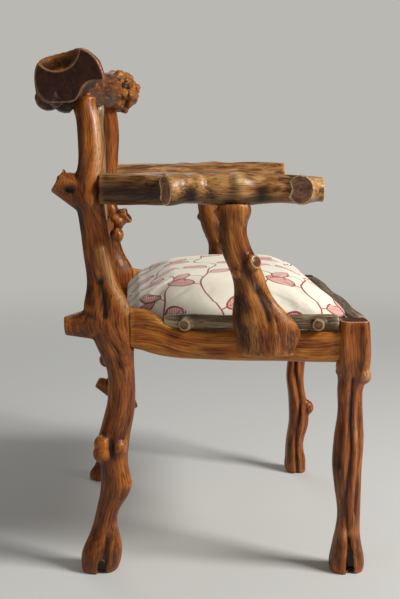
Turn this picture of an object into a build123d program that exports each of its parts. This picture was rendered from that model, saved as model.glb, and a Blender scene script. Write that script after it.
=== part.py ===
"""A rustic armchair made of crooked boughs, with an upholstered seat.

Millimetres, +Z up. The origin is on the floor under the middle of the chair.
The sitter faces -Y, so -X is the sitter's right hand and +X the left.
"""

from math import sqrt
import os

from build123d import *

os.makedirs("parts", exist_ok=True)

# ---- driving dimensions -------------------------------------------------------------------

# where the limbs stand
front_feet_apart = 560      # between the hearts of the front legs
back_feet_apart = 504       # between the hearts of the back posts
front_leg_line = -240       # depth of the front legs' hearts
back_post_line = 174        # depth of the back posts' feet

# heights above the floor
rail_top = 413              # top edge of the seat rails
front_leg_height = 430      # sawn top of the front legs
arm_height = 644            # heart of the arms
post_height = 790           # shoulder of the back posts, under the crest
crest_height = 817          # heart of the crest rail
back_rail_height = 545      # heart of the lower back rail

# girths of the limbs
post_width = 46
leg_width = 46
arm_width = 52
support_width = 46
crest_width = 76
twig_width = 26             # the thin boughs laid on the seat rails
back_twig_width = 24        # the upright twigs of the back
back_rail_width = 34        # the lower back rail
front_twig_width = 19       # the thinnest bough, along the front rail
post_cleft_width = 15       # the groove up a post's hoof, and its height
post_cleft_height = 34
leg_cleft_width = 14        # the groove up a front leg's hoof
leg_cleft_height = 60
cleft_tip_width = 2

# seat rails
rail_depth = 50             # top to bottom
rail_thickness = 34
rail_rounding = 12
rail_housing = 6            # how deep a rail's end sinks into a leg's side
rail_slope_room = 2         # left under a side rail's end, whose underside falls away from the post
rail_shoulder_rise = 6      # above the rails' top edge, where a side rail's back shoulder is set out
side_twig_set_back = 56     # from a side rail's back shoulder to the end of its thin bough
front_twig_forward = 16     # from the front rail's heart to its thin bough's
twig_end_gap = 2            # between a thin bough's end and the leg
side_twig_pins = 3
front_twig_pins = 4

# joints
fit_gap = 0.3               # clearance round a tenon and at its end
tenon_thickness = 14
tenon_height = 18
tenon_length = 24
tenon_spacing = 5           # wood left between the tenons that meet in a leg
peg_width = 8
peg_length = 28
round_tenon_width = 20      # arms, crest, lower back rail
round_tenon_length = 24
twig_tenon_width = 12
twig_tenon_length = 14
arm_housing = 5             # how deep an arm or the lower back rail sinks into the post
twig_housing = 3            # how deep a back twig's shoulder sinks into the bough that holds it
peg_set_back = 4            # how far the crest's pegs stop inside its back
small_peg_width = 6
small_peg_length = 30
peg_offset = 0.6            # from a round tenon's heart to a peg's inner end, in tenon widths
peg_hole_overrun = 1.6      # a peg hole's length against the peg's
flat_spread = 1.03          # a flat on a post against the bough that meets it
twig_socket_width = 26      # takes the shoulder of a back twig
crest_hollow_room = 11      # across the hollow under the crest, round a post's shoulder
arm_hollow_room = 6         # across the hollow under an arm, round its support's shoulder

# arms and their supports
arm_length = 356            # from the back post to the sawn front end
arm_root_outward = 7        # the arm's root outside the post's heart
arm_splay = 36              # how far the arm swings outward from the post
arm_support_depth = -42     # depth of the support's top
support_foot_height = 376   # underside of the support's foot above the floor
support_foot_stand = 10     # heart of the foot outside its sawn flat
support_flat_rise = 28      # top of that flat above the rails' top edge
support_housing = 5         # how deep a support's shoulder is let into the arm
support_tenon_width = 24
support_tenon_length = 20

# crest rail and the back
crest_right_overhang = 56   # past the heart of the right post's top
crest_left_overhang = 54
back_twig_spacing = 96

# seat
seat_frame_thickness = 20
seat_frame_width = 52
seat_frame_rise = 11        # top of the seat frame above the rails' top edge
seat_clearance = 3          # between the seat frame and the rails round it
seat_corner = 64            # rounding of the seat's corners
seat_crown = 84             # height of the dome above the seat frame
webbing_width = 50
webbing_thickness = 1.2
strap_count = 3
long_strap_spacing = 105
cross_strap_spacing = 84
strap_set_back = 16         # from the frame's outer edge to a strap's end
tack_set_back = 26          # from the frame's outer edge to the strap's tacks
hessian_thickness = 1
hessian_set_back = 10
cover_thickness = 2
cover_hem = 22              # how far the cover is turned under the frame
layer_gap = 0.2             # between the layers of the seat

# fastenings
brace_thickness = 22        # corner braces, in plan
brace_height = 30
brace_reach = 76            # along each rail, from the corner
screw_width = 4.5
screw_head_width = 8.5
screw_head_depth = 3
screw_tip_width = 1
brace_screw_length = 34
brace_screw_set_back = 9    # a brace screw's head behind the brace's middle
support_screw_length = 44
support_screw_places = ((-46, 9), (-71, -9))    # before the arm support, above the rail's middle
seat_screw_length = 38
pin_width = 2.6             # finishing nails through the thin boughs
pin_length = 30
tack_head_width = 8
tack_head_thickness = 1
tack_shank_width = 1.6
tack_length = 11
tack_spacing = 60           # along the cover's hem

loft_step = 26              # between the cross sections of a bough

RIGHT, LEFT = -1, 1
SIDE_NAMES = {RIGHT: "right", LEFT: "left"}


# ---- helpers ------------------------------------------------------------------------------

def finish(node, name):
    """Name a finished piece and write it."""
    node.part.label = name
    export_step(node.part, f"parts/{name}.step")


def steepness(before, here, after):
    """Slope of each value at a station, flat where the value turns, so that nothing overshoots."""
    slopes = []
    for low, mid, high in zip(before[1:], here[1:], after[1:]):
        rise_in = (mid - low) / (here[0] - before[0])
        rise_out = (high - mid) / (after[0] - here[0])
        turns = rise_in * rise_out <= 0
        slopes.append(0.0 if turns else 2 * rise_in * rise_out / (rise_in + rise_out))
    return slopes


def girth_at(stations, place):
    """Heart and half widths of a bough at a place along it, smoothly between its stations."""
    rows = sorted(stations)
    place = min(max(place, rows[0][0]), rows[-1][0])
    last = len(rows) - 1
    index = next(i for i in range(last) if place <= rows[i + 1][0])
    level = [0.0] * (len(rows[0]) - 1)
    slope_in = steepness(*rows[index - 1:index + 2]) if index > 0 else level
    slope_out = steepness(*rows[index:index + 3]) if index < last - 1 else level
    start, end = rows[index], rows[index + 1]
    span = end[0] - start[0]
    t = (place - start[0]) / span
    return [
        (1 + 2 * t) * (1 - t) ** 2 * a + t * t * (3 - 2 * t) * b
        + span * t * (1 - t) * ((1 - t) * slope_a - t * slope_b)
        for a, b, slope_a, slope_b in zip(start[1:], end[1:], slope_in, slope_out)
    ]


def even_steps(stations, step):
    """The same bough, with its stations resampled at even steps."""
    places = [row[0] for row in stations]
    low, high = min(places), max(places)
    count = max(4, round((high - low) / step))
    return [(place, *girth_at(stations, place))
            for place in (low + (high - low) * i / count for i in range(count + 1))]


def loft_up(stations):
    """Loft an upright bough through level ovals: (height, x, y, half across, half deep)."""
    ovals = []
    for height, x, y, across, deep in even_steps(stations, loft_step):
        with BuildSketch(Plane.XY.offset(height)) as oval:
            with Locations((x, y)):
                Ellipse(across, deep)
        ovals.append(oval.sketch)
    loft(ovals)


def loft_back(stations):
    """Loft a bough that runs front to back: (y, x, height, half across, half tall)."""
    ovals = []
    for y, x, height, across, tall in even_steps(stations, loft_step):
        with BuildSketch(Plane(origin=(x, y, height), x_dir=(1, 0, 0), z_dir=(0, 1, 0))) as oval:
            Ellipse(across, tall)
        ovals.append(oval.sketch)
    loft(ovals)


def loft_across(stations):
    """Loft a bough that runs side to side: (x, y, height, half deep, half tall)."""
    ovals = []
    for x, y, height, deep, tall in even_steps(stations, loft_step):
        with BuildSketch(Plane(origin=(x, y, height), x_dir=(0, 1, 0), z_dir=(1, 0, 0))) as oval:
            Ellipse(deep, tall)
        ovals.append(oval.sketch)
    loft(ovals)


def facing(start, toward):
    """A plane at start that looks along the line to toward."""
    return Plane(origin=start, z_dir=Vector(*toward) - Vector(*start))


def stub(root, tip, root_radius, face_radius):
    """A lopped side branch, tapering from inside its bough to a flat sawn face."""
    length = (Vector(*tip) - Vector(*root)).length
    with Locations(facing(root, tip)):
        Cone(root_radius, face_radius, length, align=(Align.CENTER, Align.CENTER, Align.MIN))


def knot(centre, radius):
    """A rounded swelling where a branch once grew."""
    with Locations(centre):
        Sphere(radius)


def cleft(foot, width, height):
    """A groove that tapers up the side of a hoofed foot."""
    with Locations(foot):
        Cone(width / 2, cleft_tip_width / 2, height, align=(Align.CENTER, Align.CENTER, Align.MIN))


def rod(start, toward, width, length):
    """A round bar from start, heading toward a point."""
    with Locations(facing(start, toward)):
        Cylinder(width / 2, length, align=(Align.CENTER, Align.CENTER, Align.MIN))


def block(low, high):
    """A square-edged block between two corners."""
    size = [b - a for a, b in zip(low, high)]
    with Locations(tuple((a + b) / 2 for a, b in zip(low, high))):
        Box(*size)


# ---- the levels of the chair and the shapes of its limbs ----------------------------------

def level_height(level):
    """Height of a level: 0 the floor, 1 the rails' top, 2 the arms' heart, 3 the post's shoulder."""
    storeys = (0, rail_top, arm_height, post_height)
    floor = min(int(level), 2)
    return storeys[floor] + (level - floor) * (storeys[floor + 1] - storeys[floor])


# Each row of a post's shape is (level, outward, backward, half across, half deep). The last four
# count in post widths, outward from the foot's heart and backward from the line of the feet.
right_post_shape = [
    (0.00, 0.00, 0.14, 0.62, 0.64), (0.04, 0.00, 0.09, 0.68, 0.76), (0.10, 0.00, -0.04, 0.62, 0.72),
    (0.17, 0.00, -0.08, 0.52, 0.50), (0.24, 0.00, -0.16, 0.46, 0.42), (0.31, 0.02, -0.42, 0.48, 0.53),
    (0.37, 0.03, -0.52, 0.50, 0.53), (0.44, 0.02, -0.46, 0.50, 0.50), (0.52, 0.00, -0.40, 0.52, 0.58),
    (0.61, 0.00, -0.56, 0.50, 0.57), (0.72, 0.00, -0.75, 0.48, 0.51), (0.80, 0.01, -0.76, 0.49, 0.51),
    (0.88, 0.02, -0.65, 0.54, 0.59), (0.95, 0.03, -0.51, 0.60, 0.70), (1.04, 0.05, -0.38, 0.63, 0.80),
    (1.15, 0.06, -0.30, 0.62, 0.85), (1.29, 0.08, -0.18, 0.56, 0.64), (1.43, 0.10, -0.03, 0.50, 0.51),
    (1.70, 0.12, 0.15, 0.50, 0.48), (1.90, 0.14, 0.28, 0.54, 0.49), (2.10, 0.12, 0.33, 0.56, 0.47),
    (2.32, 0.00, 0.25, 0.50, 0.45), (2.62, -0.18, 0.28, 0.46, 0.45), (2.86, -0.32, 0.37, 0.44, 0.43),
    (3.00, -0.36, 0.36, 0.38, 0.36),
]
left_post_shape = [
    (0.00, 0.00, 0.10, 0.64, 0.78), (0.07, 0.00, 0.02, 0.60, 0.66), (0.17, 0.00, -0.06, 0.50, 0.48),
    (0.28, 0.02, -0.36, 0.47, 0.48), (0.42, 0.04, -0.48, 0.48, 0.50), (0.60, 0.02, -0.52, 0.50, 0.52),
    (0.76, 0.00, -0.70, 0.49, 0.52), (0.88, 0.02, -0.62, 0.54, 0.60), (0.95, 0.03, -0.50, 0.60, 0.72),
    (1.04, 0.05, -0.40, 0.63, 0.84), (1.15, 0.06, -0.34, 0.62, 0.84), (1.30, 0.08, -0.18, 0.54, 0.60),
    (1.46, 0.10, -0.06, 0.50, 0.50), (1.75, 0.12, -0.02, 0.50, 0.48), (2.00, 0.14, -0.06, 0.54, 0.48),
    (2.30, 0.02, -0.10, 0.50, 0.46), (2.55, -0.20, -0.16, 0.46, 0.44), (2.80, -0.44, -0.12, 0.42, 0.41),
    (3.00, -0.50, -0.08, 0.36, 0.34),
]


def post_stations(side):
    """The stations of a back post, in millimetres."""
    shape = right_post_shape if side == RIGHT else left_post_shape
    return [
        (
            level_height(level),
            side * (back_feet_apart / 2 + outward * post_width),
            back_post_line + backward * post_width,
            across * post_width,
            deep * post_width,
        )
        for level, outward, backward, across, deep in shape
    ]


# Rows of a front leg: (share of the way up to the block, outward, backward, half across, half deep),
# the last four in leg widths.
leg_block_share = 0.80      # the squared block at the top starts here
right_leg_shape = [
    (0.00, 0.00, 0.04, 0.56, 0.60), (0.05, 0.00, 0.04, 0.60, 0.63), (0.12, 0.00, 0.05, 0.56, 0.55),
    (0.20, 0.00, 0.03, 0.48, 0.44), (0.28, 0.00, -0.01, 0.45, 0.43), (0.40, 0.01, 0.03, 0.46, 0.46),
    (0.54, 0.00, 0.08, 0.50, 0.52), (0.66, 0.00, 0.03, 0.52, 0.53), (0.76, -0.01, 0.00, 0.49, 0.47),
    (0.86, 0.00, 0.02, 0.46, 0.43), (0.94, 0.00, 0.02, 0.48, 0.45), (1.00, 0.00, 0.00, 0.50, 0.50),
]
left_leg_shape = [
    (0.00, 0.00, 0.18, 0.52, 0.46), (0.09, 0.00, 0.24, 0.54, 0.49), (0.16, 0.00, 0.28, 0.47, 0.42),
    (0.24, 0.02, 0.20, 0.45, 0.42), (0.33, 0.04, 0.06, 0.47, 0.47), (0.42, 0.04, 0.10, 0.46, 0.45),
    (0.52, 0.02, 0.20, 0.44, 0.40), (0.62, 0.00, 0.26, 0.44, 0.41), (0.76, 0.00, 0.18, 0.45, 0.41),
    (0.90, 0.00, 0.06, 0.47, 0.45), (1.00, 0.00, 0.00, 0.50, 0.50),
]


def leg_stations(side):
    """The stations of a front leg below its block, in millimetres."""
    shape = right_leg_shape if side == RIGHT else left_leg_shape
    return [
        (
            share * leg_block_share * front_leg_height,
            side * (front_feet_apart / 2 + outward * leg_width),
            front_leg_line + backward * leg_width,
            across * leg_width,
            deep * leg_width,
        )
        for share, outward, backward, across, deep in shape
    ]


# The block at the top of a front leg, squared to take the rails.
block_across = 1.06 * leg_width
block_deep = 1.08 * leg_width
block_heart_y = front_leg_line - 0.06 * leg_width
block_back = block_heart_y + block_deep / 2

# ---- the seat rails' lines ----------------------------------------------------------------

rail_middle = rail_top - rail_depth / 2
high_tenon = rail_middle + (tenon_height + tenon_spacing) / 2
low_tenon = rail_middle - (tenon_height + tenon_spacing) / 2
rail_splay = (front_feet_apart - back_feet_apart) / 2 / (back_post_line - front_leg_line)


def rail_heart_x(y):
    """Distance of the side rails' hearts from the middle of the chair at a depth."""
    return front_feet_apart / 2 - rail_splay * (y - front_leg_line)


side_rail_front = block_back - rail_housing
post_at_seat = {side: girth_at(post_stations(side), rail_top + rail_shoulder_rise)
                for side in (RIGHT, LEFT)}
side_rail_back = {side: post_at_seat[side][1] - post_at_seat[side][3] + rail_housing
                  for side in (RIGHT, LEFT)}
front_rail_y = block_heart_y - 0.04 * leg_width
front_rail_end = front_feet_apart / 2 - block_across / 2 + rail_housing
post_at_rail = {side: girth_at(post_stations(side), rail_middle) for side in (RIGHT, LEFT)}
back_rail_y = max(post_at_rail[side][1] for side in (RIGHT, LEFT))
back_rail_end = {side: abs(post_at_rail[side][0]) - post_at_rail[side][2] + rail_housing
                 for side in (RIGHT, LEFT)}

# Rows of a side rail: (share of the way forward, rise of the top, rise of the underside), in rail depths.
side_rail_shape = [
    (0.00, 0.80, 0.42), (0.06, 0.72, 0.32), (0.13, 0.46, 0.17), (0.20, 0.16, 0.09),
    (0.28, 0.02, 0.03), (0.45, -0.02, -0.02), (0.72, -0.02, -0.05), (1.00, 0.00, -0.07),
]


def side_rail_edges(side):
    """Depth, top and underside of a side rail at its stations."""
    back = side_rail_back[side]
    return [(back - share * (back - side_rail_front), rail_top + top * rail_depth,
             rail_top + (bottom - 1) * rail_depth)
            for share, top, bottom in side_rail_shape]


def beside_rail(side, outward, y, height):
    """A point given by its distance outward from a side rail's heart line at a depth."""
    return (side * (rail_heart_x(y) + outward), y, height)


# ---- arms, supports, crest ----------------------------------------------------------------

# Rows of an arm: (share of the way forward, share of the splay, upward, half across, half tall),
# the last three in arm widths.
arm_shape = {
    RIGHT: [
        (0.00, 0.00, 0.00, 0.48, 0.50), (0.12, 0.16, 0.00, 0.49, 0.50), (0.27, 0.46, 0.01, 0.49, 0.49),
        (0.40, 0.72, 0.05, 0.45, 0.45), (0.50, 0.86, 0.02, 0.50, 0.52), (0.60, 0.96, 0.01, 0.52, 0.53),
        (0.68, 1.00, 0.01, 0.51, 0.52), (0.78, 1.02, 0.03, 0.46, 0.46), (0.90, 1.02, 0.00, 0.42, 0.43),
        (1.00, 1.00, -0.02, 0.40, 0.40),
    ],
    LEFT: [
        (0.00, 0.00, 0.00, 0.46, 0.46), (0.14, 0.18, 0.02, 0.47, 0.46), (0.28, 0.44, 0.04, 0.46, 0.44),
        (0.42, 0.70, 0.05, 0.45, 0.44), (0.52, 0.86, 0.03, 0.49, 0.50), (0.60, 0.96, 0.02, 0.51, 0.51),
        (0.70, 1.02, 0.04, 0.49, 0.49), (0.84, 1.04, 0.06, 0.46, 0.46), (1.00, 1.00, 0.06, 0.44, 0.44),
    ],
}
post_at_arm = {side: girth_at(post_stations(side), arm_height) for side in (RIGHT, LEFT)}
arm_back = {side: post_at_arm[side][1] - post_at_arm[side][3] + arm_housing for side in (RIGHT, LEFT)}
arm_root_x = {side: abs(post_at_arm[side][0]) + arm_root_outward for side in (RIGHT, LEFT)}


def arm_stations(side):
    """The stations of an arm, in millimetres."""
    return [
        (
            arm_back[side] - share * arm_length,
            side * (arm_root_x[side] + swing * arm_splay),
            arm_height + upward * arm_width,
            across * arm_width,
            tall * arm_width,
        )
        for share, swing, upward, across, tall in arm_shape[side]
    ]


# Rows of an arm support: (share of the way up, backward, share of the way in to the arm, half across,
# half deep). Backward and the half widths count in support widths, from the support's top.
support_shape = [
    (0.00, -1.30, 0.00, 0.42, 0.90), (0.05, -1.30, 0.00, 0.48, 1.06), (0.13, -1.22, 0.00, 0.52, 1.14),
    (0.21, -1.10, 0.02, 0.54, 1.14), (0.29, -0.90, 0.06, 0.54, 0.96), (0.36, -0.72, 0.16, 0.52, 0.77),
    (0.45, -0.60, 0.34, 0.50, 0.61), (0.53, -0.48, 0.56, 0.50, 0.55), (0.60, -0.33, 0.74, 0.51, 0.58),
    (0.68, -0.16, 0.90, 0.50, 0.54), (0.77, 0.00, 1.00, 0.48, 0.49), (0.86, 0.01, 1.00, 0.48, 0.50),
    (1.00, 0.00, 1.00, 0.50, 0.54),
]


def arm_at_support(side):
    """Heart x, heart height and half widths of the arm over its support."""
    return girth_at(arm_stations(side), arm_support_depth)


def support_shoulder(side):
    """Height of the support's shoulder, let a little way into the arm's underside."""
    _, height, _, tall = arm_at_support(side)
    return height - tall + support_housing


def support_stations(side):
    """The stations of an arm support, in millimetres."""
    top = support_shoulder(side)
    top_x = abs(arm_at_support(side)[0])
    foot_y = arm_support_depth + support_shape[0][1] * support_width
    foot_x = rail_heart_x(foot_y) + rail_thickness / 2 + support_foot_stand
    return [
        (
            support_foot_height + share * (top - support_foot_height),
            side * (foot_x + inward * (top_x - foot_x)),
            arm_support_depth + backward * support_width,
            across * support_width,
            deep * support_width,
        )
        for share, backward, inward, across, deep in support_shape
    ]


# Rows of the crest: (share of the way from its right end to its left, backward of the posts' line,
# upward, half deep, half tall), the last four in crest widths.
crest_shape = [
    (0.045, 0.53, -0.08, 0.38, 0.30), (0.09, 0.53, -0.02, 0.47, 0.44), (0.15, 0.51, 0.00, 0.50, 0.51),
    (0.28, 0.46, 0.02, 0.48, 0.49), (0.45, 0.34, 0.01, 0.44, 0.44), (0.62, 0.18, -0.02, 0.43, 0.42),
    (0.78, 0.00, -0.01, 0.44, 0.45), (0.90, -0.18, 0.00, 0.48, 0.48), (1.00, -0.34, 0.00, 0.40, 0.40),
]
# The sawn right end of the crest is kidney-shaped, with a hollow for the post below and a round scoop
# above. Its outline counts in crest widths, backward and upward from its heart.
crest_end_outline = [
    (-0.28, 0.56), (-0.50, 0.43), (-0.66, 0.18), (-0.70, -0.08), (-0.47, -0.10), (-0.30, -0.20),
    (-0.16, -0.46), (0.20, -0.54), (0.50, -0.50), (0.67, -0.28), (0.71, 0.02), (0.63, 0.28),
    (0.40, 0.44), (0.10, 0.50), (-0.10, 0.54),
]
crest_end_heart = (0.55, 0.04)      # backward of the posts' line and above the crest's heart
# Centre of the scoop, before the end, backward and upward of that heart, and its radius.
crest_scoop = (0.06, 0.26, 0.58)
crest_scoop_radius = 0.47


def crest_ends():
    """The crest's two ends, along X."""
    right_top, left_top = (girth_at(post_stations(side), post_height)[0] for side in (RIGHT, LEFT))
    return right_top - crest_right_overhang, left_top + crest_left_overhang


def crest_stations():
    """The stations of the crest rail, in millimetres."""
    start, end = crest_ends()
    return [
        (
            start + share * (end - start),
            back_post_line + backward * crest_width,
            crest_height + upward * crest_width,
            deep * crest_width,
            tall * crest_width,
        )
        for share, backward, upward, deep, tall in crest_shape
    ]


def crest_end_section(x, scale):
    """The kidney outline of the crest's right end, drawn square to X."""
    heart_y = back_post_line + crest_end_heart[0] * crest_width
    heart_z = crest_height + crest_end_heart[1] * crest_width
    with BuildSketch(Plane(origin=(x, heart_y, heart_z), x_dir=(0, 1, 0), z_dir=(1, 0, 0))) as end:
        with BuildLine():
            Spline(*[(scale * y * crest_width, scale * z * crest_width) for y, z in crest_end_outline],
                   periodic=True)
        make_face()
    return end.sketch


# ---- the lower back rail and the back's twigs ---------------------------------------------

post_at_back = {side: girth_at(post_stations(side), back_rail_height) for side in (RIGHT, LEFT)}
back_round_end = {side: abs(post_at_back[side][0]) - post_at_back[side][2] + arm_housing
                  for side in (RIGHT, LEFT)}
# Rows of the lower back rail: (share from right to left, backward, upward, half deep, half tall).
lower_back_shape = [
    (0.00, 0.00, 0.00, 0.44, 0.46), (0.14, 0.10, 0.10, 0.44, 0.46), (0.32, 0.16, 0.22, 0.50, 0.52),
    (0.50, 0.10, 0.12, 0.47, 0.48), (0.68, 0.16, 0.22, 0.52, 0.50), (0.86, 0.08, 0.08, 0.44, 0.45),
    (1.00, 0.00, 0.00, 0.44, 0.44),
]


def lower_back_stations():
    """The stations of the lower back rail, in millimetres."""
    start, end = -back_round_end[RIGHT], back_round_end[LEFT]
    rows = []
    for share, backward, upward, deep, tall in lower_back_shape:
        post_y = post_at_back[RIGHT][1] + share * (post_at_back[LEFT][1] - post_at_back[RIGHT][1])
        rows.append((
            start + share * (end - start),
            post_y + backward * back_rail_width,
            back_rail_height + upward * back_rail_width,
            deep * back_rail_width,
            tall * back_rail_width,
        ))
    return rows


# Rows of a back twig: (share of the way up, sideways, half width), in back twig widths.
back_twig_shapes = {
    "right": [(0.00, 0.00, 0.46), (0.22, -0.30, 0.44), (0.45, -0.05, 0.50), (0.62, 0.30, 0.44),
              (0.82, 0.15, 0.42), (1.00, 0.00, 0.44)],
    "middle": [(0.00, 0.00, 0.46), (0.25, 0.35, 0.45), (0.50, 0.10, 0.43), (0.70, -0.35, 0.47),
               (0.86, -0.15, 0.42), (1.00, 0.00, 0.44)],
    "left": [(0.00, 0.00, 0.45), (0.20, 0.30, 0.46), (0.42, 0.35, 0.43), (0.60, -0.10, 0.48),
             (0.80, -0.30, 0.43), (1.00, 0.00, 0.44)],
}
back_twig_places = {"right": -back_twig_spacing, "middle": 0, "left": back_twig_spacing}
# The one lopped shoot of each: share of the way up, then outward and upward to the tip and the radii of
# root and face, in back twig widths.
back_twig_shoot = (0.46, 1.15, 0.90, 0.36, 0.26)


def back_twig_ends(place):
    """The foot and head shoulders of a back twig, as points."""
    foot_y, foot_z, _, foot_tall = girth_at(lower_back_stations(), place)
    head_y, head_z, _, head_tall = girth_at(crest_stations(), place)
    foot = (place, foot_y, foot_z + foot_tall - twig_housing)
    head = (place, head_y, head_z - head_tall + twig_housing)
    return foot, head


# ---- joints between the limbs -------------------------------------------------------------
# Each function makes the inner half of a joint, or with spare room the cut that takes it.

def beyond(point, x=0.0, y=0.0, z=0.0):
    """A point moved along the axes."""
    return (point[0] + x, point[1] + y, point[2] + z)


def side_pocket(side, shoulder, toward, rises):
    """The cut for a side rail's end, from its shoulder toward the rail."""
    top, bottom = (rise * rail_depth for rise in rises)
    bottom -= rail_slope_room
    middle = rail_middle + (top + bottom) / 2
    heart = (side * rail_heart_x(shoulder), shoulder, middle)
    with BuildSketch(Plane(origin=heart, x_dir=(1, 0, 0), z_dir=(0, toward, 0))) as mouth:
        RectangleRounded(rail_thickness + 4 * fit_gap, rail_depth + top - bottom + 2 * fit_gap,
                         rail_rounding)
    extrude(mouth.sketch, amount=leg_width)


def cross_pocket(side, shoulder, y):
    """The cut for a front or back rail's end, from its shoulder inward."""
    heart = (side * shoulder, y, rail_middle)
    with BuildSketch(Plane(origin=heart, x_dir=(0, 1, 0), z_dir=(-side, 0, 0))) as mouth:
        RectangleRounded(rail_thickness + 2 * fit_gap, rail_depth + 2 * fit_gap, rail_rounding)
    extrude(mouth.sketch, amount=leg_width)


def side_tenon(side, shoulder, toward, spare=0.0):
    """The flat tenon of a side rail."""
    x = side * rail_heart_x(shoulder)
    ends = sorted((shoulder, shoulder + toward * (tenon_length + spare)))
    block((x - tenon_thickness / 2 - spare, ends[0], high_tenon - tenon_height / 2 - spare),
          (x + tenon_thickness / 2 + spare, ends[1], high_tenon + tenon_height / 2 + spare))


def cross_tenon(side, shoulder, y, spare=0.0):
    """The flat tenon of a front or back rail."""
    ends = sorted((side * shoulder, side * (shoulder + tenon_length + spare)))
    block((ends[0], y - tenon_thickness / 2 - spare, low_tenon - tenon_height / 2 - spare),
          (ends[1], y + tenon_thickness / 2 + spare, low_tenon + tenon_height / 2 + spare))


def round_tenon(start, toward, spare=0.0):
    """The turned tenon of an arm, a post's top or the lower back rail."""
    rod(start, toward, round_tenon_width + 2 * spare, round_tenon_length + spare)


def arm_tenon_start(side):
    """The root of an arm's tenon, on its shoulder."""
    return (post_at_arm[side][0], arm_back[side], arm_height)


def back_tenon_start(side):
    """The root of the lower back rail's tenon, on its shoulder."""
    return (side * back_round_end[side], post_at_back[side][1], back_rail_height)


def post_top(side):
    """The heart of a back post's shoulder under the crest."""
    x, y, _, _ = girth_at(post_stations(side), post_height)
    return (x, y + 0.05 * post_width, post_height)


def support_top(side):
    """The heart of an arm support's shoulder, under the arm."""
    return (arm_at_support(side)[0], arm_support_depth, support_shoulder(side))


# Every peg is a start, a point it heads for, a width and a length. A peg's hole is a little wider and
# runs on past its outer end.
side_rail_joints = [(side, shoulder, toward) for side in (RIGHT, LEFT)
                    for shoulder, toward in ((side_rail_front, -1), (side_rail_back[side], 1))]
rail_pegs = {}
for side, shoulder, toward in side_rail_joints:
    tip = (side * (rail_heart_x(shoulder) + tenon_thickness), shoulder + toward * tenon_length / 2,
           high_tenon)
    rail_pegs[side, toward] = (tip, beyond(tip, x=-side), peg_width, peg_length)
arm_pegs, support_pegs, crest_pegs, back_pegs = {}, {}, {}, {}
for side in (RIGHT, LEFT):
    tip = beyond(arm_tenon_start(side), y=round_tenon_length / 2, z=-small_peg_length / 2)
    arm_pegs[side] = (tip, beyond(tip, z=1), small_peg_width, small_peg_length)
    tip = beyond(support_top(side), x=side * support_tenon_width * peg_offset, z=support_tenon_length / 2)
    support_pegs[side] = (tip, beyond(tip, x=-side), small_peg_width, small_peg_length)
    tip = beyond(post_top(side), y=-round_tenon_width * peg_offset, z=round_tenon_length / 2)
    crest_y, _, crest_deep, _ = girth_at(crest_stations(), tip[0])
    crest_pegs[side] = (tip, beyond(tip, y=1), small_peg_width, crest_y + crest_deep - peg_set_back - tip[1])
    tip = beyond(back_tenon_start(side), x=side * round_tenon_length / 2, y=-round_tenon_width * peg_offset)
    back_pegs[side] = (tip, beyond(tip, y=1), small_peg_width, small_peg_length)


def peg_hole(peg):
    """The hole that a peg fills."""
    tip, heading, width, length = peg
    rod(tip, heading, width + 2 * fit_gap, peg_hole_overrun * length)


def drive(pegs, name):
    """Make a group of pegs and write it as one node."""
    with BuildPart() as group:
        for tip, heading, width, length in pegs:
            rod(tip, heading, width, length)
    finish(group, name)


# Every screw is a seat under its head, a point it heads for and a length.
def screw_hole(seat, toward, length):
    """The hole that a screw fills, with a counterbore open behind its head."""
    axis = facing(seat, toward)
    rod(seat, toward, screw_width + 2 * fit_gap, length + fit_gap)
    behind = tuple(axis.origin - axis.z_dir)
    rod(seat, behind, screw_head_width + 2 * fit_gap, 3 * length)


def screw(seat, toward, length):
    """A wood screw with a flat round head and a pointed end."""
    axis = facing(seat, toward)
    behind = tuple(axis.origin - axis.z_dir)
    rod(seat, behind, screw_head_width, screw_head_depth)
    rod(seat, toward, screw_width, length - screw_width)
    point = axis.origin + axis.z_dir * (length - screw_width)
    with Locations(Plane(origin=point, z_dir=axis.z_dir)):
        Cone(screw_width / 2, screw_tip_width / 2, screw_width,
             align=(Align.CENTER, Align.CENTER, Align.MIN))


# ---- back posts ---------------------------------------------------------------------------
# Each is one crooked bough, hoofed at the floor and lopped where its branches stood.

def post_point(side, outward, backward, level):
    """A point on a back post, in post widths from its foot's heart, at a level."""
    return (side * (back_feet_apart / 2 + outward * post_width),
            back_post_line + backward * post_width, level_height(level))


# Stubs are (root, tip, root radius, face radius), knots are (centre, radius), in post widths.
post_stubs = {
    RIGHT: [((0.05, -0.35, 1.05), (0.05, 1.26, 1.03), 0.66, 0.33),
            ((0.12, 0.20, 1.92), (0.12, 1.42, 2.10), 0.62, 0.46)],
    LEFT: [((0.00, -0.30, 0.46), (0.00, 0.52, 0.51), 0.42, 0.24),
           ((0.00, -0.40, 0.36), (0.00, -1.26, 0.40), 0.38, 0.22),
           ((0.10, 0.00, 1.57), (-0.10, -0.98, 1.66), 0.46, 0.34)],
}
post_knots = {
    RIGHT: [((0.34, -0.04, 0.545), 0.30), ((0.36, -0.04, 0.500), 0.32), ((0.30, -0.62, 0.530), 0.30),
            ((0.08, -0.72, 0.365), 0.36)],
    LEFT: [((0.00, -0.36, 1.48), 0.40), ((-0.10, -0.52, 1.62), 0.34), ((0.20, 0.10, 0.62), 0.34)],
}
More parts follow.
